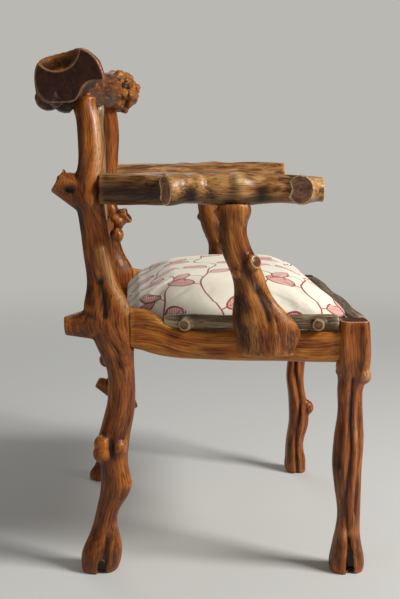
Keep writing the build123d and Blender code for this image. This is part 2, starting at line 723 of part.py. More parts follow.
for side in (RIGHT, LEFT):
    with BuildPart() as branches:
        for root, tip, root_radius, face_radius in post_stubs[side]:
            stub(post_point(side, *root), post_point(side, *tip),
                 root_radius * post_width, face_radius * post_width)
        for centre, radius in post_knots[side]:
            knot(post_point(side, *centre), radius * post_width)
        round_tenon(post_top(side), beyond(post_top(side), z=1))
    with BuildPart() as cuts:
        cleft(beyond(post_point(side, 0.62, 0.06, 0), z=-1), post_cleft_width, post_cleft_height)
        side_pocket(side, side_rail_back[side], -1, side_rail_shape[0][1:])
        side_tenon(side, side_rail_back[side], 1, fit_gap)
        cross_pocket(side, back_rail_end[side], back_rail_y)
        cross_tenon(side, back_rail_end[side], back_rail_y, fit_gap)
        # the flat and the mortise for the arm
        arm_end = (side * arm_root_x[side], arm_back[side], arm_height)
        rod(arm_end, beyond(arm_end, y=-1), flat_spread * arm_width, post_width)
        round_tenon(arm_tenon_start(side), beyond(arm_tenon_start(side), y=1), fit_gap)
        # the flat and the mortise for the lower back rail
        start = back_tenon_start(side)
        rod(start, beyond(start, x=-side), flat_spread * back_rail_width, post_width)
        round_tenon(start, beyond(start, x=side), fit_gap)
        for peg in (rail_pegs[side, 1], arm_pegs[side], crest_pegs[side], back_pegs[side]):
            peg_hole(peg)
    with BuildPart() as back_post:
        loft_up(post_stations(side))
        add(branches.part)
        add(cuts.part, mode=Mode.SUBTRACT)
    finish(back_post, f"back_post_{SIDE_NAMES[side]}")

# ---- front legs ---------------------------------------------------------------------------
# Crooked below, squared to a block at the top where the seat rails enter.

leg_knots = {
    RIGHT: [((0.10, -0.44, 0.782), 0.27)],
    LEFT: [((0.00, -0.30, 0.33), 0.34)],
}
# Rows of the block: (share of the leg's height, half across, half deep, rounding), against its full size.
block_shape = [(0.765, 0.80, 0.80, 0.36), (0.83, 0.97, 1.00, 0.30), (0.92, 1.00, 1.00, 0.26),
               (1.00, 0.95, 0.92, 0.24)]
for side in (RIGHT, LEFT):
    leg_x = side * front_feet_apart / 2
    with BuildPart() as block_and_knots:
        sections = []
        for share, across, deep, rounding in block_shape:
            with BuildSketch(Plane.XY.offset(share * front_leg_height)) as section:
                with Locations((leg_x, block_heart_y)):
                    RectangleRounded(across * block_across, deep * block_deep, rounding * leg_width)
            sections.append(section.sketch)
        loft(sections)
        for (outward, backward, share), radius in leg_knots[side]:
            knot((leg_x + side * outward * leg_width, front_leg_line + backward * leg_width,
                  share * front_leg_height), radius * leg_width)
    with BuildPart() as cuts:
        cleft((leg_x + side * 0.58 * leg_width, front_leg_line, -1), leg_cleft_width, leg_cleft_height)
        side_pocket(side, side_rail_front, 1, side_rail_shape[-1][1:])
        side_tenon(side, side_rail_front, -1, fit_gap)
        cross_pocket(side, front_rail_end, front_rail_y)
        cross_tenon(side, front_rail_end, front_rail_y, fit_gap)
        peg_hole(rail_pegs[side, -1])
    with BuildPart() as front_leg:
        loft_up(leg_stations(side))
        add(block_and_knots.part)
        add(cuts.part, mode=Mode.SUBTRACT)
    finish(front_leg, f"front_leg_{SIDE_NAMES[side]}")

# ---- seat rails ---------------------------------------------------------------------------
# Boughs hewn to a rounded oblong.

def rail_inner_x(y):
    """Distance of the side rails' inner sides from the middle of the chair at a depth."""
    return rail_heart_x(y) - rail_thickness / 2


def support_screws(side):
    """The screws that go through a side rail into the foot of its arm support."""
    screws = []
    for backward, rise in support_screw_places:
        y = arm_support_depth + backward
        seat = (side * (rail_inner_x(y) + screw_head_depth), y, rail_middle + rise)
        screws.append((seat, beyond(seat, x=side), support_screw_length))
    return screws


front_rail_inner = front_rail_y + rail_thickness / 2
back_rail_inner = back_rail_y - rail_thickness / 2
seat_frame_top = rail_top + seat_frame_rise
seat_frame_bottom = seat_frame_top - seat_frame_thickness
brace_top = seat_frame_bottom - cover_thickness - 2 * layer_gap
brace_middle = brace_top - brace_height / 2


def brace_corner(side, end):
    """The inner corner between two rails, and the ways along the side rail and the cross rail."""
    corner_y = front_rail_inner if end == "front" else back_rail_inner
    corner = Vector(side * rail_inner_x(corner_y), corner_y, 0)
    backward = Vector(-side * rail_splay, 1, 0).normalized()
    along_side = backward if end == "front" else -backward
    return corner, along_side, Vector(-side, 0, 0)


def brace_screws(side, end):
    """The two screws of a corner brace, each square to the rail that it enters."""
    corner, along_side, along_cross = brace_corner(side, end)
    reach = brace_reach - brace_thickness * sqrt(2) / 2
    into_side = Vector(side, rail_splay, 0).normalized()
    into_cross = Vector(0, -1 if end == "front" else 1, 0)
    screws = []
    for along, into in ((along_side, into_side), (along_cross, into_cross)):
        seat = corner + along * reach - into * brace_screw_set_back + Vector(0, 0, brace_middle)
        screws.append((tuple(seat), tuple(seat + into), brace_screw_length))
    return screws


def rail_section(plane, wide, tall):
    """The rounded oblong of a rail."""
    with BuildSketch(plane) as section:
        RectangleRounded(wide, tall, rail_rounding)
    return section.sketch


def side_rail_body(side, grow=0.0):
    """The hewn body of a side rail, or a slightly larger one to cut a neighbour with."""
    sections = []
    for y, top, bottom in even_steps(side_rail_edges(side), loft_step):
        heart = (side * rail_heart_x(y), y, (top + bottom) / 2)
        plane = Plane(origin=heart, x_dir=(1, 0, 0), z_dir=(0, 1, 0))
        sections.append(rail_section(plane, rail_thickness + 2 * grow, top - bottom + 2 * grow))
    loft(sections)


# The side twigs lie flush with the rails' outer sides, and start where the rails rise to the posts.
twig_radius = twig_width / 2
side_twig_outward = rail_thickness / 2 - twig_radius
side_twig_front = block_back + twig_end_gap
side_twig_back = side_rail_back[RIGHT] - side_twig_set_back


def twig_pins(start, end, count):
    """Nails through a thin bough, evenly spaced between two points at its heart."""
    places = [Vector(*start) + (Vector(*end) - Vector(*start)) * (step + 0.5) / count
              for step in range(count)]
    return [(tuple(place), beyond(tuple(place), z=-1)) for place in places]


def twig_line(side):
    """The ends of a side twig's heart line."""
    height = rail_top + twig_radius
    return (beside_rail(side, side_twig_outward, side_twig_back, height),
            beside_rail(side, side_twig_outward, side_twig_front, height))


for side in (RIGHT, LEFT):
    back, front = side_rail_back[side], side_rail_front
    with BuildPart() as cuts:
        for toward in (1, -1):
            peg_hole(rail_pegs[side, toward])
        for seat, heading, length in support_screws(side):
            screw_hole(seat, heading, length)
        for end in ("front", "back"):
            seat, heading, length = brace_screws(side, end)[0]
            rod(seat, heading, screw_width + 2 * fit_gap, length + fit_gap)
        for start, heading in twig_pins(*twig_line(side), side_twig_pins):
            rod(start, heading, pin_width + 2 * fit_gap, pin_length)
    with BuildPart() as side_rail:
        side_rail_body(side)
        side_tenon(side, back, 1)
        side_tenon(side, front, -1)
        add(cuts.part, mode=Mode.SUBTRACT)
    finish(side_rail, f"side_seat_rail_{SIDE_NAMES[side]}")

# The front and back rails: (name, depth of the heart, ends on the right and the left), with a slight
# natural waver in (share from right to left, rise of the top, rise of the underside) in rail depths.
cross_rails = {
    "front_seat_rail": (front_rail_y, {RIGHT: front_rail_end, LEFT: front_rail_end},
                        [(0.00, 0.00, 0.00), (0.20, -0.01, 0.02), (0.50, 0.00, 0.08), (0.78, 0.00, 0.01),
                         (1.00, 0.00, 0.00)]),
    "back_seat_rail": (back_rail_y, back_rail_end,
                       [(0.00, 0.00, 0.00), (0.30, -0.04, 0.05), (0.60, 0.00, -0.03), (1.00, 0.00, 0.00)]),
}
front_twig_radius = front_twig_width / 2
front_twig_y = front_rail_y - front_twig_forward
front_twig_reach = front_feet_apart / 2 - block_across / 2 - twig_end_gap


def front_twig_line():
    """The ends of the front twig's heart line."""
    height = rail_top + front_twig_radius
    return (-front_twig_reach, front_twig_y, height), (front_twig_reach, front_twig_y, height)


for name, (heart_y, ends, waver) in cross_rails.items():
    end = name.split("_")[0]
    with BuildPart() as cuts:
        for side in (RIGHT, LEFT):
            seat, heading, length = brace_screws(side, end)[1]
            rod(seat, heading, screw_width + 2 * fit_gap, length + fit_gap)
        if end == "front":
            for start, heading in twig_pins(*front_twig_line(), front_twig_pins):
                rod(start, heading, pin_width + 2 * fit_gap, pin_length)
    with BuildPart() as cross_rail:
        edges = [(-ends[RIGHT] + share * (ends[RIGHT] + ends[LEFT]), rail_top + top * rail_depth,
                  rail_top + (bottom - 1) * rail_depth) for share, top, bottom in waver]
        sections = []
        for x, top, bottom in even_steps(edges, 2 * loft_step):
            plane = Plane(origin=(x, heart_y, (top + bottom) / 2), x_dir=(0, 1, 0), z_dir=(1, 0, 0))
            sections.append(rail_section(plane, rail_thickness, top - bottom))
        loft(sections)
        for side in (RIGHT, LEFT):
            cross_tenon(side, ends[side], heart_y)
        add(cuts.part, mode=Mode.SUBTRACT)
    finish(cross_rail, name)

# ---- corner braces ------------------------------------------------------------------------
# A straight block across each inner corner of the rails, screwed to both. The seat rests on them.

seat_screws = []
brace_screw_list = []
for end in ("front", "back"):
    for side in (RIGHT, LEFT):
        corner, along_side, along_cross = brace_corner(side, end)
        inner, outer = brace_reach, brace_reach - brace_thickness * sqrt(2)
        off_rails = (along_side + along_cross).normalized() * fit_gap * sqrt(2)
        middle = corner + (along_side + along_cross) * (inner + outer) / 4
        seat = (middle.X, middle.Y, brace_top - brace_height + screw_head_depth)
        seat_screw = (seat, beyond(seat, z=1), seat_screw_length)
        seat_screws.append(seat_screw)
        brace_screw_list += brace_screws(side, end)
        with BuildPart() as cuts:
            for screw_line in brace_screws(side, end) + [seat_screw]:
                screw_hole(*screw_line)
        with BuildPart() as brace:
            with BuildSketch(Plane.XY.offset(brace_top - brace_height)):
                with BuildLine():
                    corners = ((along_side, inner), (along_cross, inner), (along_cross, outer),
                               (along_side, outer))
                    Polyline(*[corner + along * reach + off_rails for along, reach in corners], close=True)
                make_face()
            extrude(amount=brace_height)
            add(cuts.part, mode=Mode.SUBTRACT)
        finish(brace, f"corner_brace_{end}_{SIDE_NAMES[side]}")

# ---- thin boughs on the seat rails --------------------------------------------------------
# Each lies along the outer edge of a rail, flattened underneath, nailed down, its side shoots lopped.

# Lopped shoots along a side twig: share of the way forward, then outward, backward and upward to the
# tip and the radii of root and face, in twig widths.
side_twig_shoots = [(0.145, (0.95, 0.35, -0.04), 0.46, 0.38), (0.90, (0.90, 0.30, -0.04), 0.46, 0.38)]
side_twig_shape = [(0.00, 0.00, 0.42), (0.12, 0.04, 0.48), (0.30, 0.00, 0.46), (0.52, -0.03, 0.46),
                   (0.74, 0.02, 0.47), (0.90, 0.03, 0.50), (1.00, 0.00, 0.46)]
for side in (RIGHT, LEFT):
    back_end, front_end = twig_line(side)
    run = Vector(*front_end) - Vector(*back_end)
    with BuildPart() as cuts:
        # the flat under the twig, and the slope where the rail rises beneath its back end
        spare = 2 * twig_width
        block((min(back_end[0], front_end[0]) - spare, front_end[1] - spare, rail_top - spare),
              (max(back_end[0], front_end[0]) + spare, back_end[1] + spare, rail_top + fit_gap))
        side_rail_body(side, fit_gap)
        for start, heading in twig_pins(back_end, front_end, side_twig_pins):
            rod(start, heading, pin_width + 2 * fit_gap, pin_length)
    with BuildPart() as seat_twig:
        loft_back([
            (back_end[1] + share * run.Y, back_end[0] + share * run.X, back_end[2] + rise * twig_width,
             girth * twig_width, girth * twig_width)
            for share, rise, girth in side_twig_shape
        ])
        for share, (outward, backward, upward), root_radius, face_radius in side_twig_shoots:
            root = Vector(*back_end) + run * share
            tip = root + Vector(side * outward, backward, upward) * twig_width
            stub(tuple(root), tuple(tip), root_radius * twig_width, face_radius * twig_width)
        add(cuts.part, mode=Mode.SUBTRACT)
    finish(seat_twig, f"seat_twig_{SIDE_NAMES[side]}")

right_end, left_end = front_twig_line()
front_twig_shape = [(0.00, 0.00, 1.00), (0.18, 0.10, 0.95), (0.40, -0.06, 1.04), (0.62, 0.08, 0.96),
                    (0.84, -0.04, 1.02), (1.00, 0.00, 1.00)]
with BuildPart() as cuts:
    spare = 2 * twig_width
    block((right_end[0] - spare, front_twig_y - spare, rail_top - spare),
          (left_end[0] + spare, front_twig_y + spare, rail_top + fit_gap))
    for start, heading in twig_pins(right_end, left_end, front_twig_pins):
        rod(start, heading, pin_width + 2 * fit_gap, pin_length)
with BuildPart() as front_twig:
    loft_across([
        (right_end[0] + share * (left_end[0] - right_end[0]), front_twig_y + sway * twig_width,
         right_end[2], girth * front_twig_radius, girth * front_twig_radius)
        for share, sway, girth in front_twig_shape
    ])
    add(cuts.part, mode=Mode.SUBTRACT)
finish(front_twig, "seat_twig_front")

with BuildPart() as pins:
    for line, count in ((twig_line(RIGHT), side_twig_pins), (twig_line(LEFT), side_twig_pins),
                        (front_twig_line(), front_twig_pins)):
        for start, heading in twig_pins(*line, count):
            rod(start, heading, pin_width, pin_length)
finish(pins, "twig_pins")

# ---- arms ---------------------------------------------------------------------------------
# A straight bough from post to front end; its own line runs on past the fork as a lopped stub.

# Stubs: (share of the way forward, outward, upward) of root and tip, with root and face radii,
# in arm widths.
arm_stubs = {
    RIGHT: [((0.44, 0.12, 0.02), (0.290, 0.72, -0.01), 0.46, 0.47),
            ((0.96, -0.05, 0.00), (0.885, 0.62, 0.02), 0.36, 0.46)],
    LEFT: [((0.44, 0.12, 0.02), (0.300, 0.66, 0.00), 0.44, 0.43),
           ((0.86, 0.00, 0.05), (0.80, 0.64, 0.10), 0.34, 0.36)],
}


def arm_point(side, share, outward, upward):
    """A point at a share of the way along an arm, outward and upward of its heart in arm widths."""
    y = arm_back[side] - share * arm_length
    x, height, _, _ = girth_at(arm_stations(side), y)
    return (x + side * outward * arm_width, y, height + upward * arm_width)


for side in (RIGHT, LEFT):
    start = arm_tenon_start(side)
    top = support_top(side)
    with BuildPart() as branches:
        for root, tip, root_radius, face_radius in arm_stubs[side]:
            stub(arm_point(side, *root), arm_point(side, *tip),
                 root_radius * arm_width, face_radius * arm_width)
        round_tenon(start, beyond(start, y=1))
    with BuildPart() as cuts:
        rod(top, beyond(top, z=-1), support_width + arm_hollow_room, arm_width)
        rod(top, beyond(top, z=1), support_tenon_width + 2 * fit_gap, support_tenon_length + fit_gap)
        peg_hole(arm_pegs[side])
        peg_hole(support_pegs[side])
    with BuildPart() as arm:
        loft_back(arm_stations(side))
        add(branches.part)
        add(cuts.part, mode=Mode.SUBTRACT)
    finish(arm, f"arm_{SIDE_NAMES[side]}")

# ---- arm supports -------------------------------------------------------------------------
# A crooked bough with a broad foot, sawn flat inside where it laps the rail and the thin bough.

# Shoots of a support: (height and place of the root, height and place of the tip, radii), where a place is
# outward and backward of its heart in support widths. Knots are (height, outward, backward, radius).
support_shoots = [
    ((526, 0.08, -0.10), (532, 0.56, -0.48), 0.31, 0.24),
    ((580, 0.00, 0.05), (612, 0.10, 0.66), 0.26, 0.10),
]
support_knots = [(512, 0.34, 0.28, 0.20), (556, 0.10, 0.44, 0.17)]


def by_support(side, height, outward, backward):
    """A point beside an arm support's heart at a height."""
    x, y, _, _ = girth_at(support_stations(side), height)
    return (x + side * outward * support_width, y + backward * support_width, height)


for side in (RIGHT, LEFT):
    top = support_top(side)
    near, far = arm_support_depth - arm_length / 2, arm_support_depth + arm_length / 2
    flat_x = {y: side * (rail_heart_x(y) + rail_thickness / 2 + fit_gap) for y in (near, far)}
    with BuildPart() as cuts:
        # the flat against the rail, turned to its line, up to the top of the thin bough
        with BuildSketch() as flat:
            with BuildLine():
                Polyline((0, near), (flat_x[near], near), (flat_x[far], far), (0, far), close=True)
            make_face()
        extrude(flat.sketch, amount=rail_top + support_flat_rise)
        peg_hole(support_pegs[side])
        for seat, heading, length in support_screws(side):
            rod(seat, heading, screw_width + 2 * fit_gap, length + fit_gap)
    with BuildPart() as branches:
        rod(top, beyond(top, z=1), support_tenon_width, support_tenon_length)
        for root, tip, root_radius, face_radius in support_shoots:
            stub(by_support(side, *root), by_support(side, *tip),
                 root_radius * support_width, face_radius * support_width)
        for *place, radius in support_knots:
            knot(by_support(side, *place), radius * support_width)
    with BuildPart() as support:
        loft_up(support_stations(side))
        add(branches.part)
        add(cuts.part, mode=Mode.SUBTRACT)
    finish(support, f"arm_support_{SIDE_NAMES[side]}")

# ---- the back: lower rail, twigs and crest ------------------------------------------------

with BuildPart() as cuts:
    for place in back_twig_places.values():
        foot, head = back_twig_ends(place)
        rod(foot, head, twig_socket_width, back_rail_width)
        rod(foot, beyond(foot, z=-1), twig_tenon_width + 2 * fit_gap, twig_tenon_length + fit_gap)
    for side in (RIGHT, LEFT):
        peg_hole(back_pegs[side])
with BuildPart() as lower_back_rail:
    loft_across(lower_back_stations())
    for side in (RIGHT, LEFT):
        start = back_tenon_start(side)
        round_tenon(start, beyond(start, x=side))
    add(cuts.part, mode=Mode.SUBTRACT)
finish(lower_back_rail, "lower_back_rail")

for name, place in back_twig_places.items():
    foot, head = back_twig_ends(place)
    run = Vector(*head) - Vector(*foot)
    with BuildPart() as back_twig:
        loft_up([
            (foot[2] + share * run.Z, place + sway * back_twig_width, foot[1] + share * run.Y,
             girth * back_twig_width, girth * back_twig_width)
            for share, sway, girth in back_twig_shapes[name]
        ])
        rod(foot, beyond(foot, z=-1), twig_tenon_width, twig_tenon_length)
        rod(head, beyond(head, z=1), twig_tenon_width, twig_tenon_length)
        share, outward, upward, root_radius, face_radius = back_twig_shoot
        root = Vector(*foot) + run * share
        lean = -1 if place <= 0 else 1
        tip = root + Vector(lean * outward, 0, upward) * back_twig_width
        stub(tuple(root), tuple(tip), root_radius * back_twig_width, face_radius * back_twig_width)
    finish(back_twig, f"back_twig_{name}")

# Knobs of the crest: (share from right to left, backward of the posts' line, upward) and radius,
# in crest widths. Two hang under its right end and the rest crowd its burled left end.
crest_knots = [
    ((0.09, 0.66, -0.38), 0.34), ((0.13, 1.04, -0.34), 0.30), ((0.19, 0.52, 0.16), 0.40),
    ((0.90, -0.62, -0.12), 0.30), ((0.93, -0.38, 0.24), 0.30), ((0.97, -0.42, -0.30), 0.27),
    ((0.98, -0.05, 0.10), 0.28), ((0.94, -0.72, 0.06), 0.22), ((0.84, -0.34, 0.26), 0.24),
]
# How the sawn right end fades into the bough behind it: (distance in crest widths, size of its outline).
crest_end_fade = [(0.0, 1.0), (0.42, 1.01), (0.85, 0.80), (1.25, 0.50)]
crest_start, crest_end = crest_ends()
with BuildPart() as branches:
    loft([crest_end_section(crest_start + reach * crest_width, scale) for reach, scale in crest_end_fade])
    for (share, backward, upward), radius in crest_knots:
        knot((crest_start + share * (crest_end - crest_start), back_post_line + backward * crest_width,
              crest_height + upward * crest_width), radius * crest_width)
with BuildPart() as cuts:
    before, backward, upward = (share * crest_width for share in crest_scoop)
    knot((crest_start - before, back_post_line + crest_end_heart[0] * crest_width + backward,
          crest_height + crest_end_heart[1] * crest_width + upward), crest_scoop_radius * crest_width)
    for side in (RIGHT, LEFT):
        shoulder = post_top(side)
        across = 2 * max(girth_at(post_stations(side), post_height)[2:]) + crest_hollow_room
        rod(shoulder, beyond(shoulder, z=-1), across, crest_width)
        round_tenon(shoulder, beyond(shoulder, z=1), fit_gap)
        peg_hole(crest_pegs[side])
    for place in back_twig_places.values():
        foot, head = back_twig_ends(place)
        rod(head, foot, twig_socket_width, crest_width)
        rod(head, beyond(head, z=1), twig_tenon_width + 2 * fit_gap, twig_tenon_length + fit_gap)
with BuildPart() as crest:
    loft_across(crest_stations())
    add(branches.part)
    add(cuts.part, mode=Mode.SUBTRACT)
finish(crest, "crest_rail")

# ---- pegs and screws ----------------------------------------------------------------------

drive(rail_pegs.values(), "rail_pegs")
drive(arm_pegs.values(), "arm_pegs")
drive(support_pegs.values(), "support_pegs")
drive(crest_pegs.values(), "crest_pegs")
drive(back_pegs.values(), "back_pegs")
screw_groups = {
    "brace_screws": brace_screw_list,
    "support_screws": support_screws(RIGHT) + support_screws(LEFT),
    "seat_screws": seat_screws,
}
for name, screw_lines in screw_groups.items():
    with BuildPart() as screws:
        for screw_line in screw_lines:
            screw(*screw_line)
    finish(screws, name)

# ---- the seat -----------------------------------------------------------------------------
# A softwood frame carries webbing, hessian, stuffing and a cover. It drops between the rails.

seat_front = front_rail_inner + seat_clearance
seat_back = back_rail_inner - seat_clearance


def seat_plan(height, sides=0.0, front=0.0, back=0.0, back_of_sides=None):
    """The seat's outline at a height, drawn in from the frame's edges by the given amounts.

    The sides may be drawn in by another amount at the back, where the rails rise beside the seat.
    """
    near, far = seat_front + front, seat_back - back
    corner = min(seat_corner, 0.45 * (far - near))
    near_x = rail_inner_x(near) - seat_clearance - sides
    far_x = rail_inner_x(far) - seat_clearance - (sides if back_of_sides is None else back_of_sides)
    with BuildSketch(Plane.XY.offset(height)) as plan:
        with BuildLine():
            Polyline((-near_x, near), (near_x, near), (far_x, far), (-far_x, far), close=True)
        make_face()
        fillet(plan.vertices(), corner)
    return plan.sketch


def member_plan(name):
    """The footprint of one member of the seat frame."""
    width = seat_frame_width
    reach = 2 * front_feet_apart
    with BuildSketch(Plane.XY.offset(seat_frame_bottom)) as plan:
        with BuildLine():
            if name == "front":
                Polyline((-reach, seat_front), (reach, seat_front), (reach, seat_front + width),
                         (-reach, seat_front + width), close=True)
            elif name == "back":
                Polyline((-reach, seat_back), (reach, seat_back), (reach, seat_back - width),
                         (-reach, seat_back - width), close=True)
            else:
                side = RIGHT if name == "right" else LEFT
                edge = [side * (rail_inner_x(y) - seat_clearance) for y in (seat_front, seat_back)]
                Polyline((edge[0], seat_front), (edge[1], seat_back), (edge[1] - side * width, seat_back),
                         (edge[0] - side * width, seat_front), close=True)
        make_face()
    return plan.sketch


# The straps of the webbing: two sets, each a list of places across the seat.
seat_middle = (seat_front + seat_back) / 2
long_straps = [(i - (strap_count - 1) / 2) * long_strap_spacing for i in range(strap_count)]
cross_straps = [seat_middle + (i - (strap_count - 1) / 2) * cross_strap_spacing for i in range(strap_count)]
long_strap_bottom = seat_frame_top + layer_gap
cross_strap_bottom = long_strap_bottom + webbing_thickness + layer_gap


def webbing_tack_lines():
    """Where each webbing tack's head sits, two at each end of every strap."""
    lines = []
    half = webbing_width / 4
    for x in long_straps:
        for y in (seat_front + tack_set_back, seat_back - tack_set_back):
            lines += [(x + step, y, long_strap_bottom + webbing_thickness) for step in (-half, half)]
    for y in cross_straps:
        for side in (RIGHT, LEFT):
            for step in (-half, half):
                x = side * (rail_inner_x(y + step) - seat_clearance - tack_set_back)
                lines.append((x, y + step, cross_strap_bottom + webbing_thickness))
    return lines


def hem_tack_lines():
    """Where each tack of the cover's hem sits, under the middle of the hem, clear of the corners."""
    lines = []
    under = seat_frame_bottom - layer_gap - cover_thickness
    keep_off = brace_reach + tack_head_width
    inset = cover_hem / 2
    sides_run = seat_back - seat_front - 2 * keep_off
    count = max(2, round(sides_run / tack_spacing) + 1)
    for i in range(count):
        y = seat_front + keep_off + sides_run * i / (count - 1)
        for side in (RIGHT, LEFT):
            lines.append((side * (rail_inner_x(y) - seat_clearance - inset), y, under))
    for y, edge in ((seat_front + inset, seat_front), (seat_back - inset, seat_back)):
        half_run = rail_inner_x(edge) - keep_off
        count = max(2, round(2 * half_run / tack_spacing) + 1)
        lines += [(-half_run + 2 * half_run * i / (count - 1), y, under) for i in range(count)]
    return lines


def tack_holes(lines, upward):
    """The holes of a set of tacks, from the underside of their heads."""
    for line in lines:
        rod(line, beyond(line, z=upward), tack_shank_width + 2 * layer_gap, tack_length + layer_gap)


seat_members = ("front", "back", "right", "left")
with BuildPart() as frame_holes:
    tack_holes(webbing_tack_lines(), -1)
    tack_holes(hem_tack_lines(), 1)
    for seat, heading, length in seat_screws:
        rod(seat, heading, screw_width + 2 * fit_gap, length + fit_gap)
for name in seat_members:
    half = seat_frame_thickness / 2
    crossing = name in ("front", "back")
    with BuildPart() as lap:
        for other in seat_members:
            if (other in ("front", "back")) != crossing:
                extrude(member_plan(other), amount=half + layer_gap / 2)
    lap_lift = half - layer_gap / 2 if crossing else 0
    with BuildPart() as member:
        extrude(member_plan(name), amount=seat_frame_thickness)
        extrude(seat_plan(seat_frame_bottom), amount=seat_frame_thickness, mode=Mode.INTERSECT)
        with Locations((0, 0, lap_lift)):
            add(lap.part, mode=Mode.SUBTRACT)
        add(frame_holes.part, mode=Mode.SUBTRACT)
    finish(member, f"seat_frame_{name}")

with BuildPart() as long_webbing:
    for x in long_straps:
        block((x - webbing_width / 2, seat_front + strap_set_back, long_strap_bottom),
              (x + webbing_width / 2, seat_back - strap_set_back, long_strap_bottom + webbing_thickness))
    add(frame_holes.part, mode=Mode.SUBTRACT)
finish(long_webbing, "seat_webbing_long")
with BuildPart() as cross_webbing:
    for y in cross_straps:
        reach = rail_inner_x(y + webbing_width / 2) - seat_clearance - strap_set_back
        block((-reach, y - webbing_width / 2, cross_strap_bottom),
              (reach, y + webbing_width / 2, cross_strap_bottom + webbing_thickness))
    add(frame_holes.part, mode=Mode.SUBTRACT)
finish(cross_webbing, "seat_webbing_cross")

hessian_bottom = cross_strap_bottom + webbing_thickness + tack_head_thickness + layer_gap
with BuildPart() as hessian:
    extrude(seat_plan(hessian_bottom, hessian_set_back, hessian_set_back, hessian_set_back),
            amount=hessian_thickness)
finish(hessian, "seat_hessian")

# Rows of the seat's dome: (share of the crown above the frame's top, inward at the sides, the front, the
# back, and the back of the sides). The padding rolls over the rails low down and closes to the crown.
dome_shape = [
    (-0.08, -6, -18, -3, 0), (0.08, -8, -21, -4, 0), (0.26, -7, -13, -4, 0), (0.47, 2, 2, 3, 5),
    (0.65, 19, 20, 14, 21), (0.80, 45, 42, 46, 46), (0.91, 82, 72, 96, 82), (0.97, 120, 98, 140, 120),
    (1.00, 150, 118, 172, 150),
]


def dome(inward, lowered):
    """The seat's dome, drawn in and lowered for the layers inside the cover."""
    low = dome_shape[0][0]
    levels = []
    for share, *edges in dome_shape:
        height = seat_frame_top + share * seat_crown
        height -= lowered * (share - low) / (1 - low)
        levels.append((height, *(edge + inward for edge in edges)))
    loft([seat_plan(*level) for level in levels], ruled=True)


skirt_bottom = seat_frame_bottom - layer_gap - cover_thickness
dome_bottom = seat_frame_top + dome_shape[0][0] * seat_crown
cover_outside = -cover_thickness - layer_gap
stuffing_in = cover_thickness + layer_gap
stuffing_bottom = hessian_bottom + hessian_thickness + layer_gap
with BuildPart() as hollow:
    dome(cover_thickness, cover_thickness)
    extrude(seat_plan(seat_frame_bottom - layer_gap, -layer_gap, -layer_gap, -layer_gap),
            amount=dome_bottom - seat_frame_bottom + 2 * layer_gap)
with BuildPart() as cover:
    dome(0, 0)
    extrude(seat_plan(skirt_bottom, cover_outside, cover_outside, cover_outside),
            amount=dome_bottom - skirt_bottom + layer_gap)
    add(hollow.part, mode=Mode.SUBTRACT)
    extrude(seat_plan(skirt_bottom - 1, cover_hem, cover_hem, cover_hem), amount=cover_thickness + 2,
            mode=Mode.SUBTRACT)
    add(frame_holes.part, mode=Mode.SUBTRACT)
finish(cover, "seat_cover")
with BuildPart() as stuffing:
    dome(stuffing_in, stuffing_in)
    split(bisect_by=Plane.XY.offset(stuffing_bottom), keep=Keep.TOP)
finish(stuffing, "seat_stuffing")

# ---- tacks --------------------------------------------------------------------------------

for name, lines, upward in (("webbing_tacks", webbing_tack_lines(), -1), ("hem_tacks", hem_tack_lines(), 1)):
    with BuildPart() as tacks:
        for line in lines:
            rod(line, beyond(line, z=-upward), tack_head_width, tack_head_thickness)
            rod(line, beyond(line, z=upward), tack_shank_width, tack_length)
    finish(tacks, name)
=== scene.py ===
from itertools import product
from math import cos, radians, sin, tan

import bmesh
import bpy
import numpy as np
from mathutils import Matrix, Vector, interpolate
from mathutils.bvhtree import BVHTree
from mathutils.kdtree import KDTree


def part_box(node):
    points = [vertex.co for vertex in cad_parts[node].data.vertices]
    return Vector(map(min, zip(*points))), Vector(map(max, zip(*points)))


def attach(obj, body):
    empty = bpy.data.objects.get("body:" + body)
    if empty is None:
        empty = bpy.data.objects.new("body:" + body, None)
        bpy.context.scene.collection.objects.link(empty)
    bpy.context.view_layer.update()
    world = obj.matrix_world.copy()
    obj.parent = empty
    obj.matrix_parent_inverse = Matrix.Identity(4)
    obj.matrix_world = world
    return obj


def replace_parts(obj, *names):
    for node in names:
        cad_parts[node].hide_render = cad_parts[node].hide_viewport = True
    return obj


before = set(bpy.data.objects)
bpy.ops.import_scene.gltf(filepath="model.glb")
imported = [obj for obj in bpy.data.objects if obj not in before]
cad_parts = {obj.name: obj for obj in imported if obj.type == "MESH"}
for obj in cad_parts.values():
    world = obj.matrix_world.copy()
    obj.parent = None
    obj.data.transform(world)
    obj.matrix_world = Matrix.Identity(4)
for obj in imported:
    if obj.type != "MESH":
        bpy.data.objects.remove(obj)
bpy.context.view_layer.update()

# ---- the studio ----------------------------------------------------------------------------
# A pale painted floor that runs on into a pale room. A strong soft lamp lights the chair from
# its front right, and two weak ones from behind it on the right and from its left. A 67 mm lens
# looks from its right.


def linear(hex_colour):
    """An sRGB hex colour as linear red, green, blue and alpha."""
    parts = [int(hex_colour[i:i + 2], 16) / 255 for i in (1, 3, 5)]
    return (*[c / 12.92 if c <= 0.04045 else ((c + 0.055) / 1.055) ** 2.4 for c in parts], 1.0)


def add_node(tree, kind, inputs=(), **settings):
    """Add a node and set its properties. Fill its inputs, by name or in order, or link each to a
    socket or to the first output that a node shows."""
    node = tree.nodes.new(kind)
    for key, value in settings.items():
        setattr(node, key, value)
    for key, value in inputs.items() if isinstance(inputs, dict) else enumerate(inputs):
        if isinstance(value, bpy.types.Node):
            value = next(socket for socket in value.outputs if socket.enabled)
        if isinstance(value, bpy.types.NodeSocket):
            tree.links.new(value, node.inputs[key])
        else:
            node.inputs[key].default_value = value
    return node


def new_material(name):
    """An empty material and its node tree."""
    material = bpy.data.materials.new(name)
    material.use_nodes = True
    material.node_tree.nodes.clear()
    return material, material.node_tree


